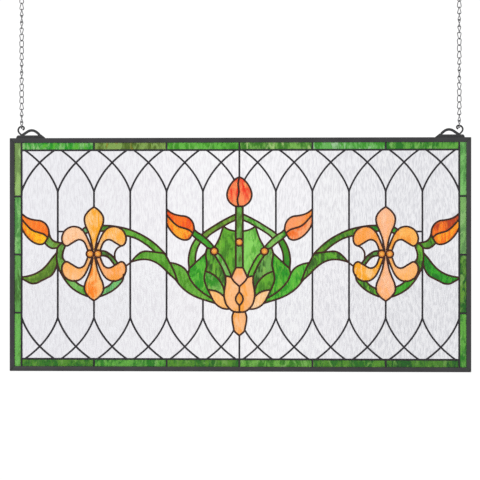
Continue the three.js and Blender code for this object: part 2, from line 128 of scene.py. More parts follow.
def new_object(name, vertices, faces, material):
    """A mesh object at the origin."""
    mesh = bpy.data.meshes.new(name)
    mesh.from_pydata(vertices, [], faces)
    mesh.materials.append(material)
    made = bpy.data.objects.new(name, mesh)
    bpy.context.scene.collection.objects.link(made)
    return made


floor_paint, tree = new_material("matt_white_floor")
floor_shade = node(tree, "ShaderNodeBsdfDiffuse", {"Color": linear("#fbfbfb")})
finish_material(tree, floor_shade)
floor_up = middle_up - 0.6
reach = 30
corners = [(-reach, -reach), (reach, -reach), (reach, reach), (-reach, reach)]
floor = new_object("floor", [(x, y, floor_up) for x, y in corners], [(0, 1, 2, 3)], floor_paint)
floor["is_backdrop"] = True

world = bpy.data.worlds.new("white_room")
world.use_nodes = True
world.node_tree.nodes["Background"].inputs["Color"].default_value = linear("#ffffff")
world.node_tree.nodes["Background"].inputs["Strength"].default_value = 1.05
bpy.context.scene.world = world
bpy.context.scene.view_settings.view_transform = "Standard"

for name, place, power in (
    ("soft_box_left", (-1.5, -1.9, 0.9), 14),
    ("soft_box_right", (1.8, -1.4, 0.5), 7),
):
    light_data = bpy.data.lights.new(name, "AREA")
    light_data.size = 0.9
    light_data.energy = power
    light = bpy.data.objects.new(name, light_data)
    light.location = place
    towards = Vector((0, 0, middle_up)) - light.location
    light.rotation_mode = "QUATERNION"
    light.rotation_quaternion = towards.to_track_quat("-Z", "Y")
    bpy.context.scene.collection.objects.link(light)


# ---- The drawing ----------------------------------------------------------------------
# The pattern that the glass is cut to and the foil follows, in millimetres out from the
# middle and up from it. Each line has its mirror image on the other side, apart from the
# few that lie in the middle. A line runs smoothly through its points.
field_out = 289.4
field_up = 138.3
bays = 12
pitch = 2 * field_out / bays
spring_up = 83.5
sheet_out = panel_width / 2 / mm - 1.8
sheet_up = panel_height / 2 / mm - 1.8
flower_out = 4 * pitch
flower_up = 1
step = 1.6


def along(points):
    """The smooth line through points, as points a step apart."""
    knots = [np.array(p, float) for p in points]
    if len(knots) == 2:
        knots = [knots[0], (knots[0] + knots[1]) / 2, knots[1]]
    made = []
    for i in range(len(knots) - 1):
        before = knots[max(i - 1, 0)]
        here, there = knots[i], knots[i + 1]
        after = knots[min(i + 2, len(knots) - 1)]
        count = max(1, math.ceil(np.linalg.norm(there - here) / step))
        for k in range(count):
            t = k / count
            lead = (there - before) / 2
            trail = (after - here) / 2
            made.append(
                (2 * t**3 - 3 * t**2 + 1) * here
                + (t**3 - 2 * t**2 + t) * lead
                + (3 * t**2 - 2 * t**3) * there
                + (t**3 - t**2) * trail
            )
    made.append(knots[-1])
    return np.array(made)


lattice_lines = []
ornament_lines = []


def middle_line(lines, *points):
    lines.append(along(points))


def pair(lines, points):
    """A line and its mirror image."""
    path = along(points)
    lines.append(path)
    lines.append(path * (-1, 1))


# Border: a line all round the field, and a joint between each two strips.
pair(lattice_lines, [(field_out, -sheet_up), (field_out, sheet_up)])
for up in (-field_up, field_up):
    middle_line(lattice_lines, (-field_out, up), (field_out, up))
side_strips = 4
for i in range(1, side_strips):
    joint = (i / side_strips - 0.5) * panel_height / mm
    pair(lattice_lines, [(field_out, joint), (sheet_out, joint)])
top_strips = 6
for i in range(1, top_strips):
    joint = (i / top_strips - 0.5) * 2 * field_out
    for end in (-1, 1):
        middle_line(lattice_lines, (joint, end * field_up), (joint, end * sheet_up))

# Rim: the foiled edge of the panel, inside the channel.
for end in (-1, 1):
    middle_line(lattice_lines, (-sheet_out, end * sheet_up), (sheet_out, end * sheet_up))
    middle_line(lattice_lines, (end * sheet_out, -sheet_up), (end * sheet_out, sheet_up))

# Gothic lattice: an upright to a bay, that springs into crossed arcs above and below.
arc_rise = np.array((10.5, 31.5))
arc_reach = np.array((43.7, field_up - spring_up))
for i in range(bays // 2 + 1):
    start = 0.27 if i == 0 else 0
    ways = [way for way in (-1, 1) if (i > 0 if way < 0 else i < bays // 2)]
    for way in ways:
        for end in (-1, 1):
            t = np.linspace(start, 1, 40)[:, None]
            arc = 2 * t * (1 - t) * arc_rise + t**2 * arc_reach
            arc = (arc * (way, 1) + (i * pitch, spring_up)) * (1, end)
            lattice_lines.append(arc)
            lattice_lines.append(arc * (-1, 1))
for bay, top, bottom in (
    (1, spring_up, 28.4),
    (1, -59.6, -spring_up),
    (2, spring_up, 60.3),
    (2, -22.5, -spring_up),
    (3, spring_up, 33),
    (3, 23.8, -spring_up),
    (4, spring_up, 63.2),
    (4, -61.2, -spring_up),
    (5, spring_up, 16.3),
    (5, -15, -spring_up),
):
    pair(lattice_lines, [(bay * pitch, top), (bay * pitch, bottom)])
pair(lattice_lines, [(2 * pitch, 60.3), (2 * pitch, -2)])
middle_line(lattice_lines, (0, field_up), (0, 102.6))
middle_line(lattice_lines, (0, -107.2), (0, -field_up))
pair(lattice_lines, [(flower_out + 41, 30.5), (5 * pitch, 30.5)])

# Flower: six petals, the same above and below and to both sides of its own middle.
tall = [(0, 62.2), (7, 57), (12.3, 49), (12, 40), (8.1, 30.3), (4.7, 21), (2.8, 12.5), (1.4, 4.8)]
curled = [
    (2.5, 5.2), (8.8, 21), (14, 30), (21, 35.2), (30, 35.8), (38.5, 31), (42.7, 22),
    (41.3, 13.8), (36.3, 10.4), (29.5, 14), (20.5, 18.7), (13, 15.5), (8.3, 4.6),
]
for across in (-1, 1):
    for over in (-1, 1):
        for edge in (tall, curled):
            pair(ornament_lines, [(flower_out + across * x, flower_up + over * z) for x, z in edge])


def bud(out, up):
    """A bud in two halves, drawn from its tip."""
    for edge in (
        [(0, 0), (5.2, -4.4), (11.5, -7.3), (19, -8.9), (25.5, -9.8), (31.5, -13.3),
         (35.5, -19.5), (36.8, -27)],
        [(0, -18.5), (3, -25), (7.8, -31.5), (13.8, -37), (20.5, -40.4), (26.5, -41),
         (30.8, -39)],
        [(36.8, -27), (34.5, -33), (30.8, -39)],
        [(0.5, -8), (5, -13.3), (10.5, -19.2), (16.5, -23.3), (24, -25.6), (30, -27.8),
         (34.6, -31.8)],
    ):
        pair(ornament_lines, [(out - x, up + z) for x, z in edge])


bud(field_out, 54.5)
bud(2 * pitch, 60.3)

for points in (
    # the ring of leaf behind the petals, and the curl inside it
    [(241.6, 9.2), (242.7, 0), (242.2, -10), (239.6, -19), (235.8, -26.5), (231, -34.5),
     (223.5, -43.3), (215, -49.5), (207, -53.4), (201.6, -55.4)],
    [(231, 11.9), (234.2, 3), (234.4, -4.5), (230.6, -10)],
    [(219.3, -34.4), (213, -39.5), (205.4, -43)],
    [(153.4, -26.6), (154.9, -34.5), (162.4, -43.3), (170.9, -49.5), (179, -53.4),
     (184.2, -55.4)],
    [(166.6, -34.4), (172.5, -40.6), (180.6, -45.2)],
    [(209.3, 32.5), (204.3, 36.4)],
    [(205.2, 27.7), (200.6, 29.4)],
    [(184.9, 31), (179, 31)],
    [(183.6, 5), (178, 4.3), (172.5, 1.2), (167.5, -3), (161, -11.8)],
    [(182.8, -1.4), (177.5, -2.2), (172, -5.6), (165.3, -14.3)],
    [(157.3, 11.3), (162.5, 7.6), (165.3, 1.5), (164.9, -5.6)],
    # the stem and leaf at the border
    [(252.6, 27.5), (250.3, 21.5), (246, 17.6), (241, 16.2), (234.6, 15.2)],
    [(258.6, 15.5), (254.5, 11.2), (249.5, 8.4), (245.5, 8.2), (241.6, 9.2)],
    [(241.6, 9.2), (238.5, 13), (235.2, 15.2)],
    [(242.6, 2.5), (248.5, -4.5), (255.5, -13.5), (263, -20.7), (272, -25.8),
     (281, -28.6), (field_out, -30)],
    [(242, -12), (244.5, -20), (249.5, -27.5), (257, -31.8), (263, -34.8), (269.5, -38),
     (276.5, -38.4), (283, -35.4), (field_out, -31.5)],
    # the long stem that ends in two leaves
    [(180.8, 38.5), (171, 38.2), (160, 36.6), (150, 34.4), (140, 31), (130, 26.3),
     (120, 20.4), (111, 13.6), (104, 7), (98.5, 0.8), (92.3, -10.6), (89.8, -15),
     (86, -23.5), (81.8, -35.4)],
    [(150.6, 25), (144, 23.6), (136, 20.8), (128, 16.2), (120, 10.5), (112, 3.6)],
    [(143.5, -9.8), (138, -3.3), (132, 2), (125.5, 4.4), (118, 3.9), (112, 3.3),
     (104, 2.2), (99, 1.4)],
    [(143.5, -9.8), (135, -7.4), (126, -6.4), (117.5, -7.6), (109, -11.4),
     (101, -17.6), (92, -26.6), (84.5, -33.4), (78.5, -41), (71.5, -47.6), (63, -53.2),
     (53, -57.8), (43, -61), (32.2, -64.4)],
    [(92.3, -10.6), (85, -12), (78, -14.8), (72, -19), (68, -25.3), (64.5, -33.5),
     (58, -42), (50, -49.2), (43.5, -53.7), (35.4, -58.4)],
    [(150.4, -15.3), (143.5, -9.8)],
    # the fan of stems and leaves
    [(59.7, 33), (55, 29), (50.2, 26.2), (44, 21.3), (38.5, 16), (33.2, 9.8)],
    [(62.6, 26.2), (57.5, 21.3), (51.4, 16.8), (46, 12.6), (42.6, 9.2)],
    [(42.6, 9.2), (37.6, 7.4)],
    [(4.7, 53.6), (13, 49.6), (24, 43.8), (35, 37), (45, 30.6), (50.2, 26.2)],
    [(4.7, 45.6), (12, 42.6), (21.5, 37.2), (31, 31.6), (39, 26.2), (44, 21.3)],
    [(57.5, 21.3), (62.5, 13), (66, 3), (67.4, -8), (66.6, -18.5), (67.8, -25.3)],
    [(51.4, 16.8), (55.3, 8.8), (57.8, 0), (58.4, -10.3)],
    [(66.6, -18.5), (58.4, -11), (51.5, -4.6), (45.2, 1.5)],
    [(42.6, 9.2), (44.8, 1.5), (43.6, -7), (43.3, -14.5), (45.6, -24), (46.4, -33),
     (44, -41), (41.5, -46.6)],
    [(44.8, -22), (38, -24.5), (31.5, -28.8), (26, -34.5), (22, -41.5), (20, -48.5)],
    [(33, -0.8), (29.5, -6), (25.5, -12.5), (22, -19.5), (18.4, -28.4)],
    [(28.6, 2), (24.5, -1.5), (20, -8.2), (16, -16), (12.6, -23.5), (10.6, -30.2)],
    [(21.2, 37.3), (23.3, 31), (26, 23), (29.3, 16), (33.2, 9.8)],
    [(21.2, 37.3), (15, 33.6), (9.5, 31.8), (4.7, 31)],
    # the tulip and its stem
    [(0, 102.6), (4.8, 100.2), (9.4, 95.6), (13.8, 88.8), (16.3, 81), (15.6, 74),
     (12.3, 68.6), (7.6, 65), (4.7, 63.6)],
    [(4.7, 63.8), (4.7, 18.6)],
    [(4.7, 14.2), (4.7, -17.2)],
    # the open flower under it
    [(4.7, -17.2), (7.6, -23.2), (10.6, -30.2)],
    [(10.6, -30.2), (7, -35.6), (0, -42)],
    [(10.6, -30.2), (14.3, -28.8), (18.4, -28.4)],
    [(18.4, -28.4), (18.2, -37), (19.8, -47), (20.2, -55.5), (17.6, -65.4),
     (12.6, -71.8), (7.4, -75.3), (0, -76.2)],
    [(0, -49.3), (3.6, -54), (4.9, -59), (3.2, -63.6), (0, -67.2)],
    [(41.5, -46.6), (33.5, -47.6), (26.5, -50.4), (20.2, -55.5)],
    [(41.5, -46.6), (38, -54), (34.4, -61), (30, -66.4), (24, -70.3), (17.5, -72),
     (12.6, -71.8)],
    [(7.4, -75.3), (9.5, -81.5), (9.2, -89), (7.8, -96), (6.3, -101.5), (0, -107.2)],
):
    pair(ornament_lines, points)
for points in (
    [(-4.7, 63.8), (4.7, 63.8)],
    [(0, 102.6), (-1.6, 93), (-0.6, 83), (-2.6, 72), (-0.9, 64)],
    [(-4.7, -17.2), (4.7, -17.2)],
    [(0, -42), (0, -49.3)],
    [(0, -67.2), (0, -76.2)],
):
    middle_line(ornament_lines, *points)

# Jewels: round nuggets, two in each flower, one in each fan and one in the stem.
jewel_line_radius = 5.2
jewel_places = [
    ("jewel_flower_left_outer", -flower_out - jewel_line_radius, flower_up),
    ("jewel_flower_left_inner", -flower_out + jewel_line_radius, flower_up),
    ("jewel_flower_right_inner", flower_out - jewel_line_radius, flower_up),
    ("jewel_flower_right_outer", flower_out + jewel_line_radius, flower_up),
    ("jewel_fan_left", -33.2, 4.5),
    ("jewel_fan_right", 33.2, 4.5),
    ("jewel_stem", 0, 16.4),
]


def circle(x, up, radius, count=28):
    """A ring of points, without its first again at its end."""
    turns = [2 * math.pi * k / count for k in range(count)]
    return np.array([(x + radius * math.cos(t), up + radius * math.sin(t)) for t in turns])


# ---- Cutting the glass ----------------------------------------------------------------
# Every pane is what the lines leave of one sheet, 3 mm thick. Its edges lie just inside
# the solder, and its front and back are flat but for the texture rolled into them.
glass_half = 1.5 * mm
line_half = 1.05
kerf_half = line_half - 0.15
overrun = 0.5
smallest_pane = 3


def ribbon(path, half):
    """The outline of a line of that half width, its two ends drawn out a little."""
    steps = np.diff(path, axis=0)
    steps /= np.linalg.norm(steps, axis=1)[:, None]
    path = path.copy()
    path[0] -= steps[0] * overrun
    path[-1] += steps[-1] * overrun
    before = np.vstack([steps[:1], steps])
    after = np.vstack([steps, steps[-1:]])
    mean = before + after
    mean /= np.linalg.norm(mean, axis=1)[:, None]
    reach = half / np.sum(mean * after, axis=1)
    side = np.stack([-mean[:, 1], mean[:, 0]], axis=1) * reach[:, None]
    return np.vstack([path - side, (path + side)[::-1]])


outlines = [ribbon(path, kerf_half) for path in lattice_lines + ornament_lines]
outlines += [circle(x, up, jewel_line_radius + kerf_half) for _, x, up in jewel_places]
sheet_points = []
sheet_faces = []
for outline in outlines:
    first = len(sheet_points)
    sheet_points += [Vector(p) for p in outline]
    sheet_faces.append(list(range(first, first + len(outline))))
points, _, triangles, _, _, covers = geometry.delaunay_2d_cdt(
    sheet_points, [], sheet_faces, 0, 1e-4, True
)
points = np.array([tuple(p) for p in points])
open_triangles = np.array([t for t, cover in zip(triangles, covers) if not cover])

# Triangles that share an edge are one pane.
owners = {}
for index, triangle in enumerate(open_triangles):
    for a, b in zip(triangle, np.roll(triangle, -1)):
        owners[(int(a), int(b))] = index
pane_of = np.full(len(open_triangles), -1)
panes = []
for start in range(len(open_triangles)):
    if pane_of[start] >= 0:
        continue
    members, waiting = [], [start]
    pane_of[start] = len(panes)
    while waiting:
        index = waiting.pop()
        members.append(index)
        triangle = open_triangles[index]
        for a, b in zip(triangle, np.roll(triangle, -1)):
            other = owners.get((int(b), int(a)))
            if other is not None and pane_of[other] < 0:
                pane_of[other] = len(panes)
                waiting.append(other)
    panes.append(open_triangles[members])


def cross(a, b):
    return a[..., 0] * b[..., 1] - a[..., 1] * b[..., 0]


def area(pane):
    a, b, c = (points[pane[:, k]] for k in range(3))
    return np.abs(cross(b - a, c - a)).sum() / 2


def pane_at(x, up):
    """The index of the pane that holds a place."""
    p = np.array((x, up))
    a, b, c = (points[open_triangles[:, k]] for k in range(3))
    sides = [cross(b - a, p - a), cross(c - b, p - b), cross(a - c, p - c)]
    inside = np.all([s >= 0 for s in sides], axis=0) | np.all([s <= 0 for s in sides], axis=0)
    found = np.flatnonzero(inside)
    if len(found) == 0:
        raise ValueError(f"no pane at {x:.1f}, {up:.1f}")
    return pane_of[found[0]]


# ---- Coloured glass -------------------------------------------------------------------
# Hand-rolled sheet with streaks of a lighter and a darker batch of its own colour, and
# here and there a wisp of a third. It lets light through but clouds it. Each pane is cut
# from another place on its sheet, so no two are quite the same.
cutter = random.Random(7)
taken = set()


def glass_piece(name, cut, material, slot, *nodes):
    """Panes as one piece: cut holds each pane's index, its light, dark and wisp colour,
    and how much darker it gets for each millimetre to the right and up."""
    vertices, faces = [], []
    values = {"light": [], "dark": [], "wisp": [], "drift": [], "sheet": []}
    for index, light_colour, dark_colour, wisp_colour, drift in cut:
        if index in taken:
            raise ValueError(f"{name} takes a pane that is taken already")
        taken.add(index)
        used, corners = np.unique(panes[index], return_inverse=True)
        corners = corners.reshape(-1, 3)
        flat = points[used]
        a, b, c = (flat[corners[:, k]] for k in range(3))
        turned = cross(b - a, c - a) < 0
        corners[turned] = corners[turned][:, ::-1]
        first, count = len(vertices), len(flat)
        for depth in (-glass_half, glass_half):
            vertices += [(x * mm, depth, up * mm + middle_up) for x, up in flat]
        edges = {(int(t[k]), int(t[(k + 1) % 3])) for t in corners for k in range(3)}
        for t in corners:
            front = [first + int(k) for k in t]
            faces.append(front)
            faces.append([k + count for k in reversed(front)])
        for p, q in sorted(edges):
            if (q, p) not in edges:
                p, q = first + p, first + q
                faces.append([p, p + count, q + count, q])
        lean = cutter.uniform(-0.12, 0.12)
        shift = np.array((cutter.uniform(-1, 1), cutter.uniform(-1, 1)))
        spin = np.array(((math.cos(lean), math.sin(lean)), (-math.sin(lean), math.cos(lean))))
        place = flat * mm @ spin + shift
        for depth in (-glass_half, glass_half):
            values["sheet"] += [(x, depth, up) for x, up in place]
        middle = (flat.min(axis=0) + flat.max(axis=0)) / 2
        values["drift"] += list((flat - middle) @ drift) * 2
        values["light"] += [linear(light_colour)] * 2 * count
        values["dark"] += [linear(dark_colour)] * 2 * count
        values["wisp"] += [linear(wisp_colour)] * 2 * count
    made = new_object(name, vertices, faces, material)
    for key, kind, field in (
        ("light", "FLOAT_COLOR", "color"),
        ("dark", "FLOAT_COLOR", "color"),
        ("wisp", "FLOAT_COLOR", "color"),
        ("drift", "FLOAT", "value"),
        ("sheet", "FLOAT_VECTOR", "vector"),
    ):
        attribute = made.data.attributes.new(key, kind, "POINT")
        attribute.data.foreach_set(field, np.array(values[key], np.float32).ravel())
    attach(made, "root")
    if nodes:
        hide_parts(*nodes)
    return made


def rolled_noise(tree, sheet, size, offset=0.0, **settings):
    """Noise drawn out along the roll: size is how far it runs across and along, in metres."""
    drawn = node(
        tree,
        "ShaderNodeMapping",
        {
            "Vector": sheet.outputs["Vector"],
            "Location": (offset, offset, offset),
            "Scale": (1 / size[0], 0, 1 / size[1]),
        },
    )
    inputs = {"Vector": drawn.outputs[0], "Scale": 1, **settings}
    return node(tree, "ShaderNodeTexNoise", inputs).outputs["Fac"]


def mixed(tree, share, first, second):
    """A mix of two colours."""
    inputs = {"Factor": share, 6: first, 7: second}
    return node(tree, "ShaderNodeMix", inputs, data_type="RGBA").outputs[2]


def spread(tree, value, low, high):
    """The part of a noise from low to high, drawn out to run smoothly from 0 to 1."""
    inputs = {"Value": value, "From Min": low, "From Max": high}
    kind = "ShaderNodeMapRange"
    return node(tree, kind, inputs, interpolation_type="SMOOTHSTEP").outputs[0]


def streaky_glass(name, streak, cloud, wisp, roughness, transmission, ripple):
    """Glass whose colours run in streaks, clouds and wisps of those sizes."""
    material, tree = new_material(name)
    sheet = node(tree, "ShaderNodeAttribute", attribute_name="sheet")
    tones = {
        key: node(tree, "ShaderNodeAttribute", attribute_name=key).outputs["Color"]
        for key in ("light", "dark", "wisp")
    }
    drift = node(tree, "ShaderNodeAttribute", attribute_name="drift")
    streaks = rolled_noise(tree, sheet, streak, Detail=3, Roughness=0.6, Distortion=0.9)
    clouds = rolled_noise(tree, sheet, cloud, 40.0, Detail=2, Distortion=0.5)
    both = node(tree, "ShaderNodeMath", {0: streaks, 1: clouds}, operation="ADD")
    share = spread(tree, both.outputs[0], 0.87, 1.13)
    drifted = node(
        tree,
        "ShaderNodeMath",
        {0: share, 1: drift.outputs["Fac"]},
        operation="ADD",
        use_clamp=True,
    )
    wisps = rolled_noise(tree, sheet, wisp, 90.0, Detail=2, Distortion=0.8)
    colour = mixed(tree, drifted.outputs[0], tones["light"], tones["dark"])
    colour = mixed(tree, spread(tree, wisps, 0.54, 0.7), colour, tones["wisp"])
    waves = node(
        tree,
        "ShaderNodeTexNoise",
        {"Vector": sheet.outputs["Vector"], "Scale": 220, "Detail": 2, "Distortion": 0.4},
    )
    bump = node(
        tree,
        "ShaderNodeBump",
        {"Height": waves.outputs["Fac"], "Strength": ripple, "Distance": 0.3 * mm},
    )
    shader = node(
        tree,
        "ShaderNodeBsdfPrincipled",
        {
            "Base Color": colour,
            "Roughness": roughness,
            "IOR": 1.52,
            "Specular IOR Level": 0.08,
            "Transmission Weight": transmission,
            "Normal": bump.outputs[0],
        },
    )
    finish_material(tree, shader)
    return material


# Milky opalescent sheet for the flowers: its streaks are soft and broad.
petal_glass = streaky_glass(
    "opalescent_rolled_glass",
    streak=(6 * mm, 24 * mm),
    cloud=(22 * mm, 30 * mm),
    wisp=(7 * mm, 20 * mm),
    roughness=0.22,
    transmission=0.5,
    ripple=0.3,
)
# Green cathedral sheet for the leaves and stems, clearer and with sharper streaks.
leaf_glass = streaky_glass(
    "green_streaky_rolled_glass",
    streak=(4 * mm, 16 * mm),
    cloud=(14 * mm, 18 * mm),
    wisp=(5 * mm, 14 * mm),
    roughness=0.18,
    transmission=0.6,
    ripple=0.3,
)
# Border strips are cut across a sheet with mixed upright bands.
strip_glass = streaky_glass(
    "green_mottled_rolled_glass",
    streak=(5 * mm, 14 * mm),
    cloud=(20 * mm, 40 * mm),
    wisp=(7 * mm, 16 * mm),
    roughness=0.18,
    transmission=0.6,
    ripple=0.3,
)
finishes = {
    "peach_glass": (petal_glass, "#ffe6c8", 0.25),
    "amber_glass": (petal_glass, "#ffe6c8", 0.25),
    "orange_glass": (petal_glass, "#ffc860", 0.25),
    "leaf_glass": (leaf_glass, "#a8cc50", 0.3),
    "border_glass": (strip_glass, "#a8cc90", 0.35),
}

# The sheets on the rack: the light and the dark colour of each, and for some the colour
# of the wisps. In the others the wisps are the light colour, paled a little.
rack = {
    "cream": "#ffd8aa #fac480",
    "pale_peach": "#ffcc9f #feba7a",
    "peach": "#fdc095 #feb26a",
    "apricot": "#ffc286 #ffb65f",
    "nectarine": "#ffc072 #ffb85f",
    "ripe_apricot": "#febe80 #fea838",
    "tangerine": "#ffb474 #fca440",
    "gold": "#ffba58 #f8a035",
    "honey": "#fecb8c #feb440",
    "amber": "#ffcc84 #fbac10",
    "flame": "#ffc072 #fc8800",
    "ember": "#fa6c00 #bc3c00",
    "vermilion": "#fc7400 #f15000",
    "coral": "#ff9258 #ef2600",
    "orange": "#ffa40e #f57200",
    "bright_orange": "#fe8820 #f77200",
    "marigold": "#ffc400 #fa8000",
    "salmon": "#fda066 #fe9438",
    "hot_salmon": "#ffac75 #f77000",
    "deep_emerald": "#2aa612 #007a00",
    "dark_emerald": "#409000 #008800",
    "emerald": "#3eaa18 #2a9400",
    "bright_emerald": "#5ac030 #209800",
    "shamrock": "#5abc24 #009000",
    "grass": "#64b320 #3c8400",
    "leaf": "#68b434 #489400",
    "spring": "#84c464 #4aa018",
    "fresh": "#82c158 #239000",
    "lime": "#7cc23c #56b41c",
    "pale_lime": "#8dd860 #59b030",
    "jade": "#71c477 #50944b",
    "sea_green": "#68ae6f #2e8750",
    "forest": "#5cac20 #2a5c00",
    "moss": "#70b04c #255c00",
    "fern": "#5a9410 #2e7800",
    "olive": "#76a32a #4e7a00",
    "sage": "#6ab048 #4c780c",
    "pale_sage": "#78b450 #68901c",
    "bottle": "#4a8c30 #3c4800",
    "emerald_band": "#8ac674 #009600 #56b826",
    "brown_band": "#86aa50 #4c6c00 #968400",
    "milk_band": "#68b856 #36961c #a0cc98",
    "white_band": "#76b44a #307c00 #a0c674",
    "meadow": "#62ba3c #369200",
    "deep_meadow": "#60ac3a #147800",
    "clover": "#6cae40 #2e7e00",
    "ivy": "#60982a #025e00",
    "dark_ivy": "#50901a #146a00",
    "shade_ivy": "#448412 #005a00",
    "pale_willow": "#78c064 #4c943f",
    "willow": "#7cb560 #5b924c",
    "straw": "#98c06a #75994f",
    "thyme": "#60a848 #407822",
    "apple": "#6cbb50 #4c8e26",
}


def between(first, second, share):
    """A hex colour part of the way from one to another."""
    pairs = zip(bytes.fromhex(first[1:]), bytes.fromhex(second[1:]))
    return "#" + "".join(f"{round(a + (b - a) * share):02x}" for a, b in pairs)


def glass_part(part, slot, seeds, *nodes):
    """One part's panes: seeds holds a place on each pane, the sheet that it is cut from
    and, where it is cut across a change of colour, how fast it darkens out and up."""
    material, wisp_tone, wisp_share = finishes[slot]
    cut = []
    for x, up, chosen in seeds:
        sheet, *drift = chosen.split()
        light_colour, dark_colour, *wisp = rack[sheet].split()
        wisp = wisp or [between(light_colour, wisp_tone, wisp_share)]
        drift = [float(d) for d in drift] or [0.0, 0.0]
        cut.append((pane_at(x, up), light_colour, dark_colour, wisp[0], drift))
    glass_piece(f"glass_{part}", cut, material, slot, *nodes)


# Parts that come in pairs: a place on each pane of the right one, the sheet that it is
# cut from there, and the one that its mirror image is cut from on the left.
for part, slot, seeds in (
    ("petal_top", "peach_glass", [(192.9, 45, "peach 0.05 0", "amber 0.05 0")]),
    ("petal_bottom", "peach_glass", [(192.9, -45, "peach", "flame -0.05 0")]),
    ("petal_upper_outer", "peach_glass", [(220, 28, "gold", "pale_peach 0 -0.05")]),
    ("petal_upper_inner", "peach_glass", [(165, 28, "tangerine", "honey 0 0.05")]),
    ("petal_lower_outer", "peach_glass", [(220, -26, "apricot -0.03 -0.05", "apricot 0 0.05")]),
    ("petal_lower_inner", "amber_glass", [(165, -26, "amber", "tangerine 0 -0.05")]),
    ("lotus_petal", "peach_glass", [(30, -58, "cream", "nectarine")]),
    ("ring_leaf_outer", "leaf_glass", [(215, -45, "emerald", "spring")]),
    ("ring_leaf_inner", "leaf_glass", [(170, -43, "forest", "jade")]),
    (
        "bud_outer",
        "orange_glass",
        [
            (268, 38, "ember 0 0.05", "bright_orange"),
            (273, 24, "orange", "marigold -0.05 -0.03"),
        ],
    ),
    (
        "bud_inner",
        "orange_glass",
        [
            (75, 44, "salmon 0.05 -0.05", "vermilion"),
            (80, 30, "hot_salmon -0.05 0.05", "orange"),
        ],
    ),
    (
        "leaf_fan",
        "leaf_glass",
        [
            (28, 40, "spring -0.05 -0.05", "olive -0.05 0.05"),
            (48, 19.5, "fresh", "emerald"),
            (63, 0, "dark_emerald -0.05 -0.05", "leaf 0.05 -0.05"),
            (22, -13, "lime", "spring"),
            (12, 10, "pale_lime 0.05 0", "grass"),
            (36, -8, "moss -0.05 0", "forest"),
            (33, -36, "grass 0.05 -0.05", "fresh -0.03 0.03"),
            (54, -25, "shamrock", "bright_emerald"),
        ],
    ),
    (
        "scroll",
        "leaf_glass",
        [
            (125, 20, "fern", "leaf"),
            (102, -8, "forest", "leaf"),
            (68, -40, "bright_emerald", "leaf"),
        ],
    ),
    (
        "outer_stem_and_leaf",
        "leaf_glass",
        [
            (249, 14.5, "forest", "pale_sage"),
            (238.5, -5, "forest", "sage"),
            (256, -22, "deep_emerald", "olive 0.05 -0.05"),
        ],
    ),
    (
        "ring_and_curl",
        "leaf_glass",
        [
            (205, 32, "deep_emerald", "sea_green"),
            (181.5, 34.5, "deep_emerald", "fern"),
            (173, -2, "bottle", "bottle"),
        ],
    ),
):
    for side, sign, chosen in (("right", 1, 2), ("left", -1, 3)):
        name = f"{part}_{side}"
        nodes = () if part == "ring_and_curl" else (name,)
        glass_part(name, slot, [(sign * seed[0], seed[1], seed[chosen]) for seed in seeds], *nodes)

# Parts on the middle line.
for part, slot, seeds in (
    ("tulip", "orange_glass", [(8, 80, "coral 0 0.04"), (-8, 80, "coral 0 0.04")]),
    (
        "lotus_heart",
        "amber_glass",
        [
            (0, -28, "peach"),
            (12, -50, "ripe_apricot"),
            (-12, -50, "apricot"),
            (0, -58, "gold"),
            (0, -88, "ripe_apricot -0.05 0"),
        ],
    ),
    ("centre_stem_upper", "leaf_glass", [(0, 40, "sage 0.05 0")]),
    ("centre_stem_lower", "leaf_glass", [(0, 0, "sage 0.05 0")]),
):
    glass_part(part, slot, seeds, part)

# The border, from left to right above and below, and down each side.
strip_up = (field_up + sheet_up) / 2
strip_out = (field_out + sheet_out) / 2
for part, up, chosen in (
    (
        "border_glass_top",
        strip_up,
        ("emerald_band", "brown_band", "meadow", "white_band", "milk_band", "deep_meadow"),
    ),
    (
        "border_glass_bottom",
        -strip_up,
        ("dark_ivy", "deep_meadow", "dark_ivy", "clover", "dark_ivy", "shade_ivy"),
    ),
):
    outs = [((i + 0.5) / top_strips - 0.5) * 2 * field_out for i in range(top_strips)]
    glass_part(part, "border_glass", [(x, up, sheet) for x, sheet in zip(outs, chosen)], part)
for part, x, chosen in (
    ("border_glass_right", strip_out, ("pale_willow", "willow", "ivy", "deep_meadow")),
    ("border_glass_left", -strip_out, ("straw", "pale_willow", "thyme", "apple")),
):
    ups = [(0.5 - (i + 0.5) / side_strips) * panel_height / mm for i in range(side_strips)]
    glass_part(part, "border_glass", [(x, up, sheet) for up, sheet in zip(ups, chosen)], part)


# ---- Clear glass ----------------------------------------------------------------------
# Everything else is clear sheet, rolled with a fine upright ripple that breaks up what is
# seen through it. Its lighter and darker streaks are painted light and shade that stand in
# for the light bent by the ripple. The tones have a faint lilac cast, a little greyer in the
# panes near the ends.
ripple_size = (1.7 * mm, 10 * mm)
clear_sheet, tree = new_material("rippled_clear_glass")
sheet = node(tree, "ShaderNodeAttribute", attribute_name="sheet")
light_colour = node(tree, "ShaderNodeAttribute", attribute_name="light").outputs["Color"]
dark_colour = node(tree, "ShaderNodeAttribute", attribute_name="dark").outputs["Color"]
ripples = rolled_noise(tree, sheet, ripple_size, Detail=1, Distortion=0.7)
bump = node(
    tree, "ShaderNodeBump", {"Height": ripples, "Strength": 0.6, "Distance": 0.3 * mm}
)
# The base colour mixes the pane's two tones by the ripple noise: painted light and shade of the
# ripple.
shader = node(
    tree,
    "ShaderNodeBsdfPrincipled",
    {
        "Base Color": mixed(tree, spread(tree, ripples, 0.38, 0.66), light_colour, dark_colour),
        "Roughness": 0.05,
        "IOR": 1.52,
        "Transmission Weight": 1.0,
        "Normal": bump.outputs[0],
    },
)
finish_material(tree, shader)


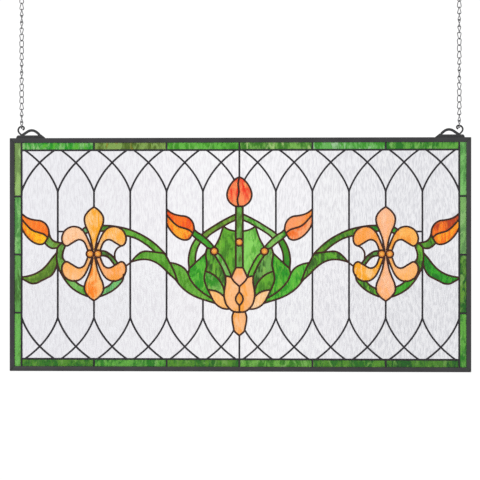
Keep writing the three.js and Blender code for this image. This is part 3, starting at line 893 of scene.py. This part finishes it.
cut = []
for index, pane in enumerate(panes):
    if index in taken or area(pane) < smallest_pane:
        continue
    # Each pane's pale and deep tone for the painted light and shade of the ripple, greyer towards
    # the ends.
    x = points[pane].reshape(-1, 2)[:, 0].mean() / field_out
    end = ("#ebebef", "#dedde2") if x < 0 else ("#eaeaed", "#d3d3d8")
    share = min(1.0, abs(x) / 0.7)
    pale = between("#f6f5f7", end[0], share)
    deep = between("#e7e5e9", end[1], share)
    cut.append((index, pale, deep, pale, (0.0, 0.0)))
glass_piece(
    "glass_clear",
    cut,
    clear_sheet,
    "clear_glass",
    "clear_glass_upper",
    "clear_glass_lower",
    "clear_glass_bay_left",
    "clear_glass_bay_right",
    "clear_glass_flower_left",
    "clear_glass_flower_right",
)


# ---- Jewels ---------------------------------------------------------------------------
# Round amber nuggets, smooth and domed towards the room, flat at the back. Their colour is
# painted light and shade: brightest in the middle, where the light comes straight through,
# and painted shade that darkens to brown at the rim.
jewel_radius = 4.45 * mm
jewel_waist = 1.1 * mm
jewel_rise = 2.1 * mm
jewel_rows = 9
jewel_sides = 32

jewel_glass, tree = new_material("pressed_amber_glass")
rim = node(tree, "ShaderNodeAttribute", attribute_name="rim")
# Painted light and shade: a ramp from bright amber in the middle to dark brown at the rim.
depth = node(tree, "ShaderNodeValToRGB", {"Fac": rim.outputs["Fac"]})
for position, colour in ((0.0, "#ffca58"), (0.5, "#f2a01c"), (0.8, "#b05c0c"), (1.0, "#4a240a")):
    ends = depth.color_ramp.elements
    stop = ends[0] if position == 0 else ends[-1] if position == 1 else ends.new(position)
    stop.color = linear(colour)
place = node(tree, "ShaderNodeTexCoord")
swirl = node(
    tree,
    "ShaderNodeTexNoise",
    {"Vector": place.outputs["Object"], "Scale": 500, "Detail": 2, "Distortion": 1},
)
swirled = node(
    tree,
    "ShaderNodeMix",
    {
        "Factor": spread(tree, swirl.outputs["Fac"], 0.42, 0.95),
        6: depth.outputs["Color"],
        7: linear("#f09018"),
    },
    data_type="RGBA",
)
jewel_shader = node(
    tree,
    "ShaderNodeBsdfPrincipled",
    {
        "Base Color": swirled.outputs[2],
        "Roughness": 0.08,
        "IOR": 1.52,
        "Transmission Weight": 0.5,
    },
)
finish_material(tree, jewel_shader)

for name, x, up in jewel_places:
    rows = []
    for k in range(1, jewel_rows + 1):
        lean = math.pi / 2 * k / jewel_rows
        rows.append((math.sin(lean) * jewel_radius, -jewel_waist - math.cos(lean) * jewel_rise))
    rows.append((jewel_radius, glass_half - 0.3 * mm))
    rows.append((jewel_radius - 0.3 * mm, glass_half))
    vertices = [(0, -jewel_waist - jewel_rise, 0), (0, glass_half, 0)]
    for radius, deep in rows:
        for k in range(jewel_sides):
            turn = 2 * math.pi * k / jewel_sides
            vertices.append((radius * math.cos(turn), deep, radius * math.sin(turn)))
    faces = []
    last = 2 + (len(rows) - 1) * jewel_sides
    for k in range(jewel_sides):
        after = (k + 1) % jewel_sides
        faces.append((0, 2 + k, 2 + after))
        faces.append((1, last + after, last + k))
        for row in range(len(rows) - 1):
            a = 2 + row * jewel_sides
            faces.append((a + k, a + jewel_sides + k, a + jewel_sides + after, a + after))
    moved = [(vx + x * mm, vy, vz + up * mm + middle_up) for vx, vy, vz in vertices]
    jewel = new_object(f"glass_{name}", moved, faces, jewel_glass)
    jewel.data.polygons.foreach_set("use_smooth", [True] * len(faces))
    # The distance from the middle, which places the painted light and shade.
    attribute = jewel.data.attributes.new("rim", "FLOAT", "POINT")
    rims = [min(1, math.hypot(vx, vz) / jewel_radius) for vx, vy, vz in vertices]
    attribute.data.foreach_set("value", rims)
    jewel.data.set_sharp_from_angle(angle=math.radians(40))
    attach(jewel, "root")
    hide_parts(name)


# ---- Solder ---------------------------------------------------------------------------
# Copper foil laps the edge of every pane, and a rounded bead of solder runs over it on
# the front and the back. The beads waver a little where the iron moved on, swell where
# lines end in each other, and are blackened with patina.
bead_rise = 0.8 * mm
bead_waver = 0.06
joint_radius = 1.4 * mm


def patina(name, light_tone, dark_tone):
    """Darkened solder: blotches 8 mm wide of two tones, and small pits."""
    material, tree = new_material(name)
    place = node(tree, "ShaderNodeTexCoord")
    blotches = node(
        tree,
        "ShaderNodeTexNoise",
        {"Vector": place.outputs["Object"], "Scale": 120, "Detail": 3},
    )
    colour = node(
        tree,
        "ShaderNodeMix",
        {"Factor": blotches.outputs["Fac"], 6: linear(light_tone), 7: linear(dark_tone)},
        data_type="RGBA",
    )
    pits = node(
        tree,
        "ShaderNodeTexNoise",
        {"Vector": place.outputs["Object"], "Scale": 1400, "Detail": 2},
    )
    bump = node(
        tree,
        "ShaderNodeBump",
        {"Height": pits.outputs["Fac"], "Strength": 0.35, "Distance": 0.1 * mm},
    )
    roughness = node(
        tree,
        "ShaderNodeMapRange",
        {"Value": blotches.outputs["Fac"], "To Min": 0.3, "To Max": 0.5},
    )
    shader = node(
        tree,
        "ShaderNodeBsdfPrincipled",
        {
            "Base Color": colour.outputs[2],
            "Metallic": 0.75,
            "Roughness": roughness.outputs[0],
            "Normal": bump.outputs[0],
        },
    )
    finish_material(tree, shader)
    return material


def new_tree(name, **inputs):
    """A Geometry Nodes tree with those inputs, its input node and its output socket."""
    tree = bpy.data.node_groups.new(name, "GeometryNodeTree")
    tree.interface.new_socket("Geometry", in_out="INPUT", socket_type="NodeSocketGeometry")
    for key, kind in inputs.items():
        label = key.replace("_", " ").capitalize()
        tree.interface.new_socket(label, in_out="INPUT", socket_type=f"NodeSocket{kind}")
    tree.interface.new_socket("Geometry", in_out="OUTPUT", socket_type="NodeSocketGeometry")
    return tree, node(tree, "NodeGroupInput").outputs


def through_tree(made, tree, **values):
    """Runs an object through a tree, and leaves its result as a plain mesh."""
    modifier = made.modifiers.new("made", "NODES")
    modifier.node_group = tree
    sockets = {s.name: s.identifier for s in tree.interface.items_tree if s.in_out == "INPUT"}
    for key, value in values.items():
        modifier[sockets[key.replace("_", " ").capitalize()]] = value
    shown = made.evaluated_get(bpy.context.evaluated_depsgraph_get())
    mesh = bpy.data.meshes.new_from_object(shown)
    made.modifiers.remove(modifier)
    made.data = mesh
    mesh.name = made.name
    return made


bead_tree, given = new_tree(
    "solder_bead",
    half_width="Float",
    glass_half="Float",
    rise="Float",
    waver="Float",
    joint_radius="Float",
    middle_up="Float",
    seed="Float",
    metal="Material",
)
place = node(bead_tree, "GeometryNodeInputPosition")
curves = node(bead_tree, "GeometryNodeMeshToCurve", {"Mesh": given["Geometry"]})
upright = node(
    bead_tree, "GeometryNodeSetCurveNormal", {"Curve": curves.outputs[0]}, mode="Z_UP"
)
waver = node(
    bead_tree,
    "ShaderNodeTexNoise",
    {"Vector": place.outputs[0], "W": given["Seed"], "Scale": 140, "Detail": 1},
    noise_dimensions="4D",
)
least = node(bead_tree, "ShaderNodeMath", {0: 1, 1: given["Waver"]}, operation="SUBTRACT")
most = node(bead_tree, "ShaderNodeMath", {0: 1, 1: given["Waver"]}, operation="ADD")
swell = node(
    bead_tree,
    "ShaderNodeMapRange",
    {
        "Value": waver.outputs["Fac"],
        "From Min": 0.3,
        "From Max": 0.7,
        "To Min": least.outputs[0],
        "To Max": most.outputs[0],
    },
)
swelling = node(
    bead_tree,
    "GeometryNodeSetCurveRadius",
    {"Curve": upright.outputs[0], "Radius": swell.outputs[0]},
)

# The bead's section: flat sides against the glass, and a low dome to the front and back.
bead_sides = 12
half_step = math.pi / bead_sides
round_section = node(
    bead_tree, "GeometryNodeCurvePrimitiveCircle", {"Resolution": bead_sides, "Radius": 1}
)
turned_section = node(
    bead_tree,
    "GeometryNodeTransform",
    {"Geometry": round_section.outputs[0], "Rotation": (0, 0, half_step)},
)
section_place = node(
    bead_tree, "ShaderNodeSeparateXYZ", {0: node(bead_tree, "GeometryNodeInputPosition").outputs[0]}
)
wide = node(
    bead_tree,
    "ShaderNodeMath",
    {0: section_place.outputs["X"], 1: given["Half width"]},
    operation="MULTIPLY",
)
widest = node(
    bead_tree, "ShaderNodeMath", {0: wide.outputs[0], 1: math.cos(half_step)}, operation="DIVIDE"
)
domed = node(
    bead_tree,
    "ShaderNodeMath",
    {0: section_place.outputs["Y"], 1: given["Rise"]},
    operation="MULTIPLY",
)
facing = node(bead_tree, "ShaderNodeMath", {0: section_place.outputs["Y"]}, operation="SIGN")
proud = node(
    bead_tree,
    "ShaderNodeMath",
    {0: facing.outputs[0], 1: given["Glass half"], 2: domed.outputs[0]},
    operation="MULTIPLY_ADD",
)
section_point = node(
    bead_tree, "ShaderNodeCombineXYZ", {"X": widest.outputs[0], "Y": proud.outputs[0]}
)
section = node(
    bead_tree,
    "GeometryNodeSetPosition",
    {"Geometry": turned_section.outputs[0], "Position": section_point.outputs[0]},
)
beads = node(
    bead_tree,
    "GeometryNodeCurveToMesh",
    {
        "Curve": swelling.outputs[0],
        "Profile Curve": section.outputs[0],
        "Fill Caps": True,
    },
)

# A blob where a line ends in another one.
around = node(bead_tree, "GeometryNodeInputMeshVertexNeighbors")
at_end = node(
    bead_tree,
    "FunctionNodeCompare",
    {2: around.outputs["Vertex Count"], 3: 1},
    data_type="INT",
    operation="EQUAL",
)
drop = node(
    bead_tree, "GeometryNodeMeshIcoSphere", {"Radius": given["Joint radius"], "Subdivisions": 2}
)
reach_out = node(
    bead_tree, "ShaderNodeMath", {0: given["Glass half"], 1: given["Rise"]}, operation="ADD"
)
tallness = node(
    bead_tree,
    "ShaderNodeMath",
    {0: reach_out.outputs[0], 1: given["Joint radius"]},
    operation="DIVIDE",
)
drop_scale = node(bead_tree, "ShaderNodeCombineXYZ", {"X": 1, "Y": 1, "Z": tallness.outputs[0]})
tall_drop = node(
    bead_tree,
    "GeometryNodeTransform",
    {"Geometry": drop.outputs[0], "Scale": drop_scale.outputs[0]},
)
drop_size = node(
    bead_tree, "FunctionNodeRandomValue", {2: 0.9, 3: 1.08, "Seed": 11}, data_type="FLOAT"
)
drops = node(
    bead_tree,
    "GeometryNodeInstanceOnPoints",
    {
        "Points": given["Geometry"],
        "Selection": at_end.outputs[0],
        "Instance": tall_drop.outputs[0],
        "Scale": drop_size.outputs[1],
    },
)
together = node(bead_tree, "GeometryNodeJoinGeometry", {"Geometry": beads.outputs[0]})
bead_tree.links.new(drops.outputs[0], together.inputs["Geometry"])
real = node(bead_tree, "GeometryNodeRealizeInstances", {"Geometry": together.outputs[0]})
lift = node(bead_tree, "ShaderNodeCombineXYZ", {"Z": given["Middle up"]})
stood = node(
    bead_tree,
    "GeometryNodeTransform",
    {
        "Geometry": real.outputs[0],
        "Rotation": (math.pi / 2, 0, 0),
        "Translation": lift.outputs[0],
    },
)
smooth = node(bead_tree, "GeometryNodeSetShadeSmooth", {"Geometry": stood.outputs[0]})
coated = node(
    bead_tree,
    "GeometryNodeSetMaterial",
    {"Geometry": smooth.outputs[0], "Material": given["Metal"]},
)
node(bead_tree, "NodeGroupOutput", {"Geometry": coated.outputs[0]})

lattice_patina = patina("blackened_solder", "#39363a", "#1f1d20")
ornament_patina = patina("brown_patina_solder", "#4a2c22", "#2a1915")
jewel_rings = [circle(x, up, jewel_line_radius) for _, x, up in jewel_places]
for seed, (name, paths, metal, half_width, closed) in enumerate(
    (
        ("solder_lattice", lattice_lines, lattice_patina, 1.2 * mm, False),
        ("solder_ornament", ornament_lines, ornament_patina, 1.2 * mm, False),
        ("solder_jewel_rings", jewel_rings, ornament_patina, 0.85 * mm, True),
    )
):
    vertices, edges = [], []
    for path in paths:
        first = len(vertices)
        vertices += [(x * mm, up * mm, 0) for x, up in path]
        edges += [(first + k, first + k + 1) for k in range(len(path) - 1)]
        if closed:
            edges.append((first + len(path) - 1, first))
    solder = new_object(name, [], [], metal)
    solder.data.clear_geometry()
    solder.data.from_pydata(vertices, edges, [])
    through_tree(
        solder,
        bead_tree,
        half_width=half_width,
        glass_half=glass_half,
        rise=bead_rise,
        waver=bead_waver,
        joint_radius=joint_radius,
        middle_up=middle_up,
        seed=float(seed),
        metal=metal,
    )
    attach(solder, "root")
    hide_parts("solder_web")


# ---- Frame ----------------------------------------------------------------------------
# Four lengths of zinc channel, rolled with slightly rounded edges, slid over the panel's
# edge, mitred and tacked at the corners, then blackened. Faint lines from the rolls run
# along each length, and the patina is a little cloudy.


def channel_metal(name, along_x):
    """Blackened zinc, with roll lines half a millimetre apart along x or along z."""
    material, tree = new_material(name)
    place = node(tree, "ShaderNodeTexCoord")
    stretch = (12, 1800, 1800) if along_x else (1800, 1800, 12)
    drawn = node(
        tree, "ShaderNodeMapping", {"Vector": place.outputs["Object"], "Scale": stretch}
    )
    lines = node(tree, "ShaderNodeTexNoise", {"Vector": drawn.outputs[0], "Scale": 1, "Detail": 2})
    clouds = node(
        tree,
        "ShaderNodeTexNoise",
        {"Vector": place.outputs["Object"], "Scale": 40, "Detail": 4},
    )
    colour = node(
        tree,
        "ShaderNodeMix",
        {"Factor": clouds.outputs["Fac"], 6: linear("#3e3e3f"), 7: linear("#262627")},
        data_type="RGBA",
    )
    roughness = node(
        tree,
        "ShaderNodeMapRange",
        {"Value": lines.outputs["Fac"], "To Min": 0.38, "To Max": 0.6},
    )
    bump = node(
        tree,
        "ShaderNodeBump",
        {"Height": lines.outputs["Fac"], "Strength": 0.15, "Distance": 0.05 * mm},
    )
    shader = node(
        tree,
        "ShaderNodeBsdfPrincipled",
        {
            "Base Color": colour.outputs[2],
            "Metallic": 0.6,
            "Roughness": roughness.outputs[0],
            "Normal": bump.outputs[0],
        },
    )
    finish_material(tree, shader)
    return material


def softened(name, node_name, material, width):
    """A copy of a solid with its edges rounded over, that stands for it."""
    shape = bmesh.new()
    shape.from_mesh(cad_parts[node_name].data)
    bmesh.ops.remove_doubles(shape, verts=shape.verts, dist=0.02 * mm)
    bmesh.ops.dissolve_limit(
        shape, angle_limit=math.radians(1), verts=shape.verts, edges=shape.edges
    )
    sharp = [e for e in shape.edges if e.calc_face_angle(0) > math.radians(20)]
    bmesh.ops.bevel(
        shape, geom=sharp, offset=width, segments=2, profile=0.5, affect="EDGES",
        clamp_overlap=True,
    )
    mesh = bpy.data.meshes.new(name)
    shape.to_mesh(mesh)
    shape.free()
    mesh.materials.clear()
    mesh.materials.append(material)
    made = bpy.data.objects.new(name, mesh)
    bpy.context.scene.collection.objects.link(made)
    mesh.polygons.foreach_set("use_smooth", [True] * len(mesh.polygons))
    mesh.set_sharp_from_angle(angle=math.radians(35))
    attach(made, "root")
    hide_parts(node_name)
    return made


level_zinc = channel_metal("blackened_zinc_level", True)
upright_zinc = channel_metal("blackened_zinc_upright", False)
for side, metal in (
    ("top", level_zinc),
    ("bottom", level_zinc),
    ("left", upright_zinc),
    ("right", upright_zinc),
):
    rail = softened(f"zinc_channel_{side}", f"frame_{side}", metal, 0.3 * mm)


# ---- Hangers --------------------------------------------------------------------------
# A rod curled into an eye that holds the chain, with a heavier bow behind it that sweeps
# down to a low plate on the top channel. The three are soldered up as one and blackened.
rod_depth = 2.4 * mm
eye_width = 2.2
bow_width = 3.5
eye_line = [
    (288.2, 165.5), (286.7, 166.4), (286.2, 168), (287.1, 169.6), (289.4, 170.1), (292.3, 169),
    (294.1, 165.6), (293.2, 162.2), (291, 159.9), (289, 157.6),
]
bow_line = [
    (289, 158.3), (286.4, 159.9), (283.2, 162.1), (280, 164), (276.6, 164.8), (273.2, 164.4),
    (270.2, 162.9), (267.4, 160.7), (265.6, 158.9),
]
plate_corners = [
    (296.8, 154.5), (296.2, 156.8), (294.6, 158.3), (267, 158.3), (263.9, 159.7), (257.3, 154.5),
]


rod_tree, given = new_tree(
    "rod",
    width="Float",
    depth="Float",
    edge_round="Float",
    middle_up="Float",
    metal="Material",
)
curves = node(rod_tree, "GeometryNodeMeshToCurve", {"Mesh": given["Geometry"]})
upright = node(rod_tree, "GeometryNodeSetCurveNormal", {"Curve": curves.outputs[0]}, mode="Z_UP")
square = node(
    rod_tree,
    "GeometryNodeCurvePrimitiveQuadrilateral",
    {"Width": given["Width"], "Height": given["Depth"]},
)
eased = node(
    rod_tree,
    "GeometryNodeFilletCurve",
    {"Curve": square.outputs[0], "Radius": given["Edge round"], "Count": 3},
    mode="POLY",
)
swept = node(
    rod_tree,
    "GeometryNodeCurveToMesh",
    {"Curve": upright.outputs[0], "Profile Curve": eased.outputs[0], "Fill Caps": True},
)
lift = node(rod_tree, "ShaderNodeCombineXYZ", {"Z": given["Middle up"]})
stood = node(
    rod_tree,
    "GeometryNodeTransform",
    {
        "Geometry": swept.outputs[0],
        "Rotation": (math.pi / 2, 0, 0),
        "Translation": lift.outputs[0],
    },
)
smooth = node(rod_tree, "GeometryNodeSetShadeSmooth", {"Geometry": stood.outputs[0]})
real = node(rod_tree, "GeometryNodeRealizeInstances", {"Geometry": smooth.outputs[0]})
coated = node(
    rod_tree, "GeometryNodeSetMaterial", {"Geometry": real.outputs[0], "Material": given["Metal"]}
)
node(rod_tree, "NodeGroupOutput", {"Geometry": coated.outputs[0]})

rod_steps = 0.6
for side, sign in (("right", 1), ("left", -1)):
    for bend, line, width in (("eye", eye_line, eye_width), ("bow", bow_line, bow_width)):
        knots = along(line)
        lengths = np.append(0, np.cumsum(np.linalg.norm(np.diff(knots, axis=0), axis=1)))
        even = np.arange(0, lengths[-1], rod_steps)
        path = np.stack([np.interp(even, lengths, knots[:, k]) for k in (0, 1)], axis=1)
        rod = new_object(f"hanger_{bend}_{side}", [], [], level_zinc)
        rod.data.clear_geometry()
        rod.data.from_pydata(
            [(sign * x * mm, up * mm, 0) for x, up in path],
            [(k, k + 1) for k in range(len(path) - 1)],
            [],
        )
        through_tree(
            rod,
            rod_tree,
            width=width * mm,
            depth=rod_depth,
            edge_round=0.7 * mm,
            middle_up=middle_up,
            metal=level_zinc,
        )
        rod.data.set_sharp_from_angle(angle=math.radians(35))
        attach(rod, "root")
        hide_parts(f"hanger_{side}")

    shape = bmesh.new()
    rings = [
        [shape.verts.new((sign * x * mm, deep, up * mm + middle_up)) for x, up in plate_corners]
        for deep in (-rod_depth / 2, rod_depth / 2)
    ]
    shape.faces.new(rings[0])
    shape.faces.new(rings[1][::-1])
    for k in range(len(plate_corners)):
        shape.faces.new((rings[0][k], rings[0][k - 1], rings[1][k - 1], rings[1][k]))
    bmesh.ops.recalc_face_normals(shape, faces=shape.faces)
    bmesh.ops.bevel(
        shape, geom=shape.edges, offset=0.35 * mm, segments=2, profile=0.5, affect="EDGES"
    )
    plate = new_object(f"hanger_plate_{side}", [], [], level_zinc)
    shape.to_mesh(plate.data)
    shape.free()
    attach(plate, "root")
    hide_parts(f"hanger_{side}")


# ---- Chains ---------------------------------------------------------------------------
# Curb chain of dull steel wire. Each link is bent round, butted and then twisted a
# quarter turn, so that the links lie flat in each other. The chain turns slowly as it goes up.
links = 21
link_pitch = 8.3 * mm
link_width = 6.3 * mm
wire = 1.25 * mm
link_twist = -math.pi / 2
turn_per_link = math.pi / 8
first_turn = -0.4 * turn_per_link
chain_out = 289.5 * mm
chain_foot = middle_up + 167.8 * mm
wire_sides = 8
bend_steps = 14

chain_steel, tree = new_material("dull_steel_wire")
place = node(tree, "ShaderNodeTexCoord")
tarnish = node(
    tree, "ShaderNodeTexNoise", {"Vector": place.outputs["Object"], "Scale": 260, "Detail": 3}
)
colour = node(
    tree,
    "ShaderNodeMix",
    {"Factor": tarnish.outputs["Fac"], 6: linear("#8c8c8e"), 7: linear("#4e4e50")},
    data_type="RGBA",
)
scratches = node(
    tree, "ShaderNodeTexNoise", {"Vector": place.outputs["Object"], "Scale": 2500, "Detail": 2}
)
bump = node(
    tree,
    "ShaderNodeBump",
    {"Height": scratches.outputs["Fac"], "Strength": 0.15, "Distance": 0.05 * mm},
)
shader = node(
    tree,
    "ShaderNodeBsdfPrincipled",
    {"Base Color": colour.outputs[2], "Metallic": 1, "Roughness": 0.36, "Normal": bump.outputs[0]},
)
finish_material(tree, shader)

# One link, standing on its foot: two half rounds joined by straight sides.
bend = (link_width - wire) / 2
straight = link_pitch / 2 - (bend - wire / 2)
link_line = []
for end in (1, -1):
    for k in range(bend_steps + 1):
        t = math.pi * k / bend_steps
        link_line.append((end * bend * math.cos(t), end * (straight + bend * math.sin(t))))
link_height = 2 * (bend + straight + wire / 2)
vertices = []
for k, (a, up) in enumerate(link_line):
    ahead = link_line[(k + 1) % len(link_line)]
    behind = link_line[k - 1]
    along_wire = Vector((ahead[0] - behind[0], ahead[1] - behind[1])).normalized()
    for j in range(wire_sides):
        t = 2 * math.pi * j / wire_sides
        out = math.cos(t) * wire / 2
        spot = Vector((a + out * along_wire.y, math.sin(t) * wire / 2, up - out * along_wire.x))
        turn = link_twist * spot.z / link_height
        vertices.append(
            (
                -spot.y * math.cos(turn) - spot.x * math.sin(turn),
                spot.x * math.cos(turn) - spot.y * math.sin(turn),
                spot.z,
            )
        )
faces = []
for k in range(len(link_line)):
    after = (k + 1) % len(link_line)
    for j in range(wire_sides):
        n = (j + 1) % wire_sides
        faces.append(
            (
                k * wire_sides + j,
                k * wire_sides + n,
                after * wire_sides + n,
                after * wire_sides + j,
            )
        )

chain_tree, given = new_tree(
    "chain",
    links="Int",
    pitch="Float",
    turn_per_link="Float",
    first_turn="Float",
    out="Float",
    foot="Float",
    metal="Material",
)
rise = node(chain_tree, "ShaderNodeCombineXYZ", {"Z": given["Pitch"]})
half_pitch = node(
    chain_tree, "ShaderNodeMath", {0: given["Pitch"], 1: 0.5}, operation="MULTIPLY"
)
first_up = node(
    chain_tree, "ShaderNodeMath", {0: given["Foot"], 1: half_pitch.outputs[0]}, operation="ADD"
)
start = node(chain_tree, "ShaderNodeCombineXYZ", {"X": given["Out"], "Z": first_up.outputs[0]})
centres = node(
    chain_tree,
    "GeometryNodeMeshLine",
    {"Count": given["Links"], "Start Location": start.outputs[0], "Offset": rise.outputs[0]},
    mode="OFFSET",
)
number = node(chain_tree, "GeometryNodeInputIndex")
turned = node(
    chain_tree,
    "ShaderNodeMath",
    {0: number.outputs[0], 1: given["Turn per link"], 2: given["First turn"]},
    operation="MULTIPLY_ADD",
)
turning = node(chain_tree, "ShaderNodeCombineXYZ", {"Z": turned.outputs[0]})
strung = node(
    chain_tree,
    "GeometryNodeInstanceOnPoints",
    {
        "Points": centres.outputs[0],
        "Instance": given["Geometry"],
        "Rotation": turning.outputs[0],
    },
)
real = node(chain_tree, "GeometryNodeRealizeInstances", {"Geometry": strung.outputs[0]})
smooth = node(chain_tree, "GeometryNodeSetShadeSmooth", {"Geometry": real.outputs[0]})
coated = node(
    chain_tree,
    "GeometryNodeSetMaterial",
    {"Geometry": smooth.outputs[0], "Material": given["Metal"]},
)
node(chain_tree, "NodeGroupOutput", {"Geometry": coated.outputs[0]})

for side, sign in (("right", 1), ("left", -1)):
    chain = new_object(f"curb_chain_{side}", vertices, faces, chain_steel)
    through_tree(
        chain,
        chain_tree,
        links=links,
        pitch=link_pitch,
        turn_per_link=turn_per_link,
        first_turn=first_turn,
        out=sign * chain_out,
        foot=chain_foot,
        metal=chain_steel,
    )
    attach(chain, "root")
    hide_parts(f"chain_{side}")


# ---- Hanging rings --------------------------------------------------------------------
# A round steel ring closes the top of each chain, and goes over the hook. It is bent from
# thicker wire, and its two ends are butted at the top with a hairline between them.
ring_inner = 10.6 * mm
ring_wire = 2 * mm
ring_turn = math.radians(37)
ring_sides = 10
ring_steps = 48
butt_gap = 0.03

for side, sign in (("right", 1), ("left", -1)):
    low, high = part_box(f"hanging_ring_{side}")
    centre_up = (low.z + high.z) / 2
    ring_radius = (ring_inner + ring_wire) / 2
    vertices = []
    for k in range(ring_steps + 1):
        around = butt_gap / 2 + (2 * math.pi - butt_gap) * k / ring_steps
        for j in range(ring_sides):
            t = 2 * math.pi * j / ring_sides
            out = ring_radius + math.cos(t) * ring_wire / 2
            flat = out * math.sin(around)
            deep = math.sin(t) * ring_wire / 2
            vertices.append(
                (
                    sign * chain_out + flat * math.cos(ring_turn) - deep * math.sin(ring_turn),
                    flat * math.sin(ring_turn) + deep * math.cos(ring_turn),
                    centre_up + out * math.cos(around),
                )
            )
    faces = [list(range(ring_sides))]
    faces.append([ring_steps * ring_sides + j for j in reversed(range(ring_sides))])
    for k in range(ring_steps):
        for j in range(ring_sides):
            n = (j + 1) % ring_sides
            a, b = k * ring_sides, (k + 1) * ring_sides
            faces.append((a + j, b + j, b + n, a + n))
    hoop = new_object(f"steel_ring_{side}", vertices, faces, chain_steel)
    shape = bmesh.new()
    shape.from_mesh(hoop.data)
    bmesh.ops.recalc_face_normals(shape, faces=shape.faces)
    shape.to_mesh(hoop.data)
    shape.free()
    hoop.data.polygons.foreach_set("use_smooth", [True] * len(hoop.data.polygons))
    hoop.data.set_sharp_from_angle(angle=math.radians(50))
    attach(hoop, "root")
    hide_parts(f"hanging_ring_{side}")


# ---- Size of what is drawn ------------------------------------------------------------
low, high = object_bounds()
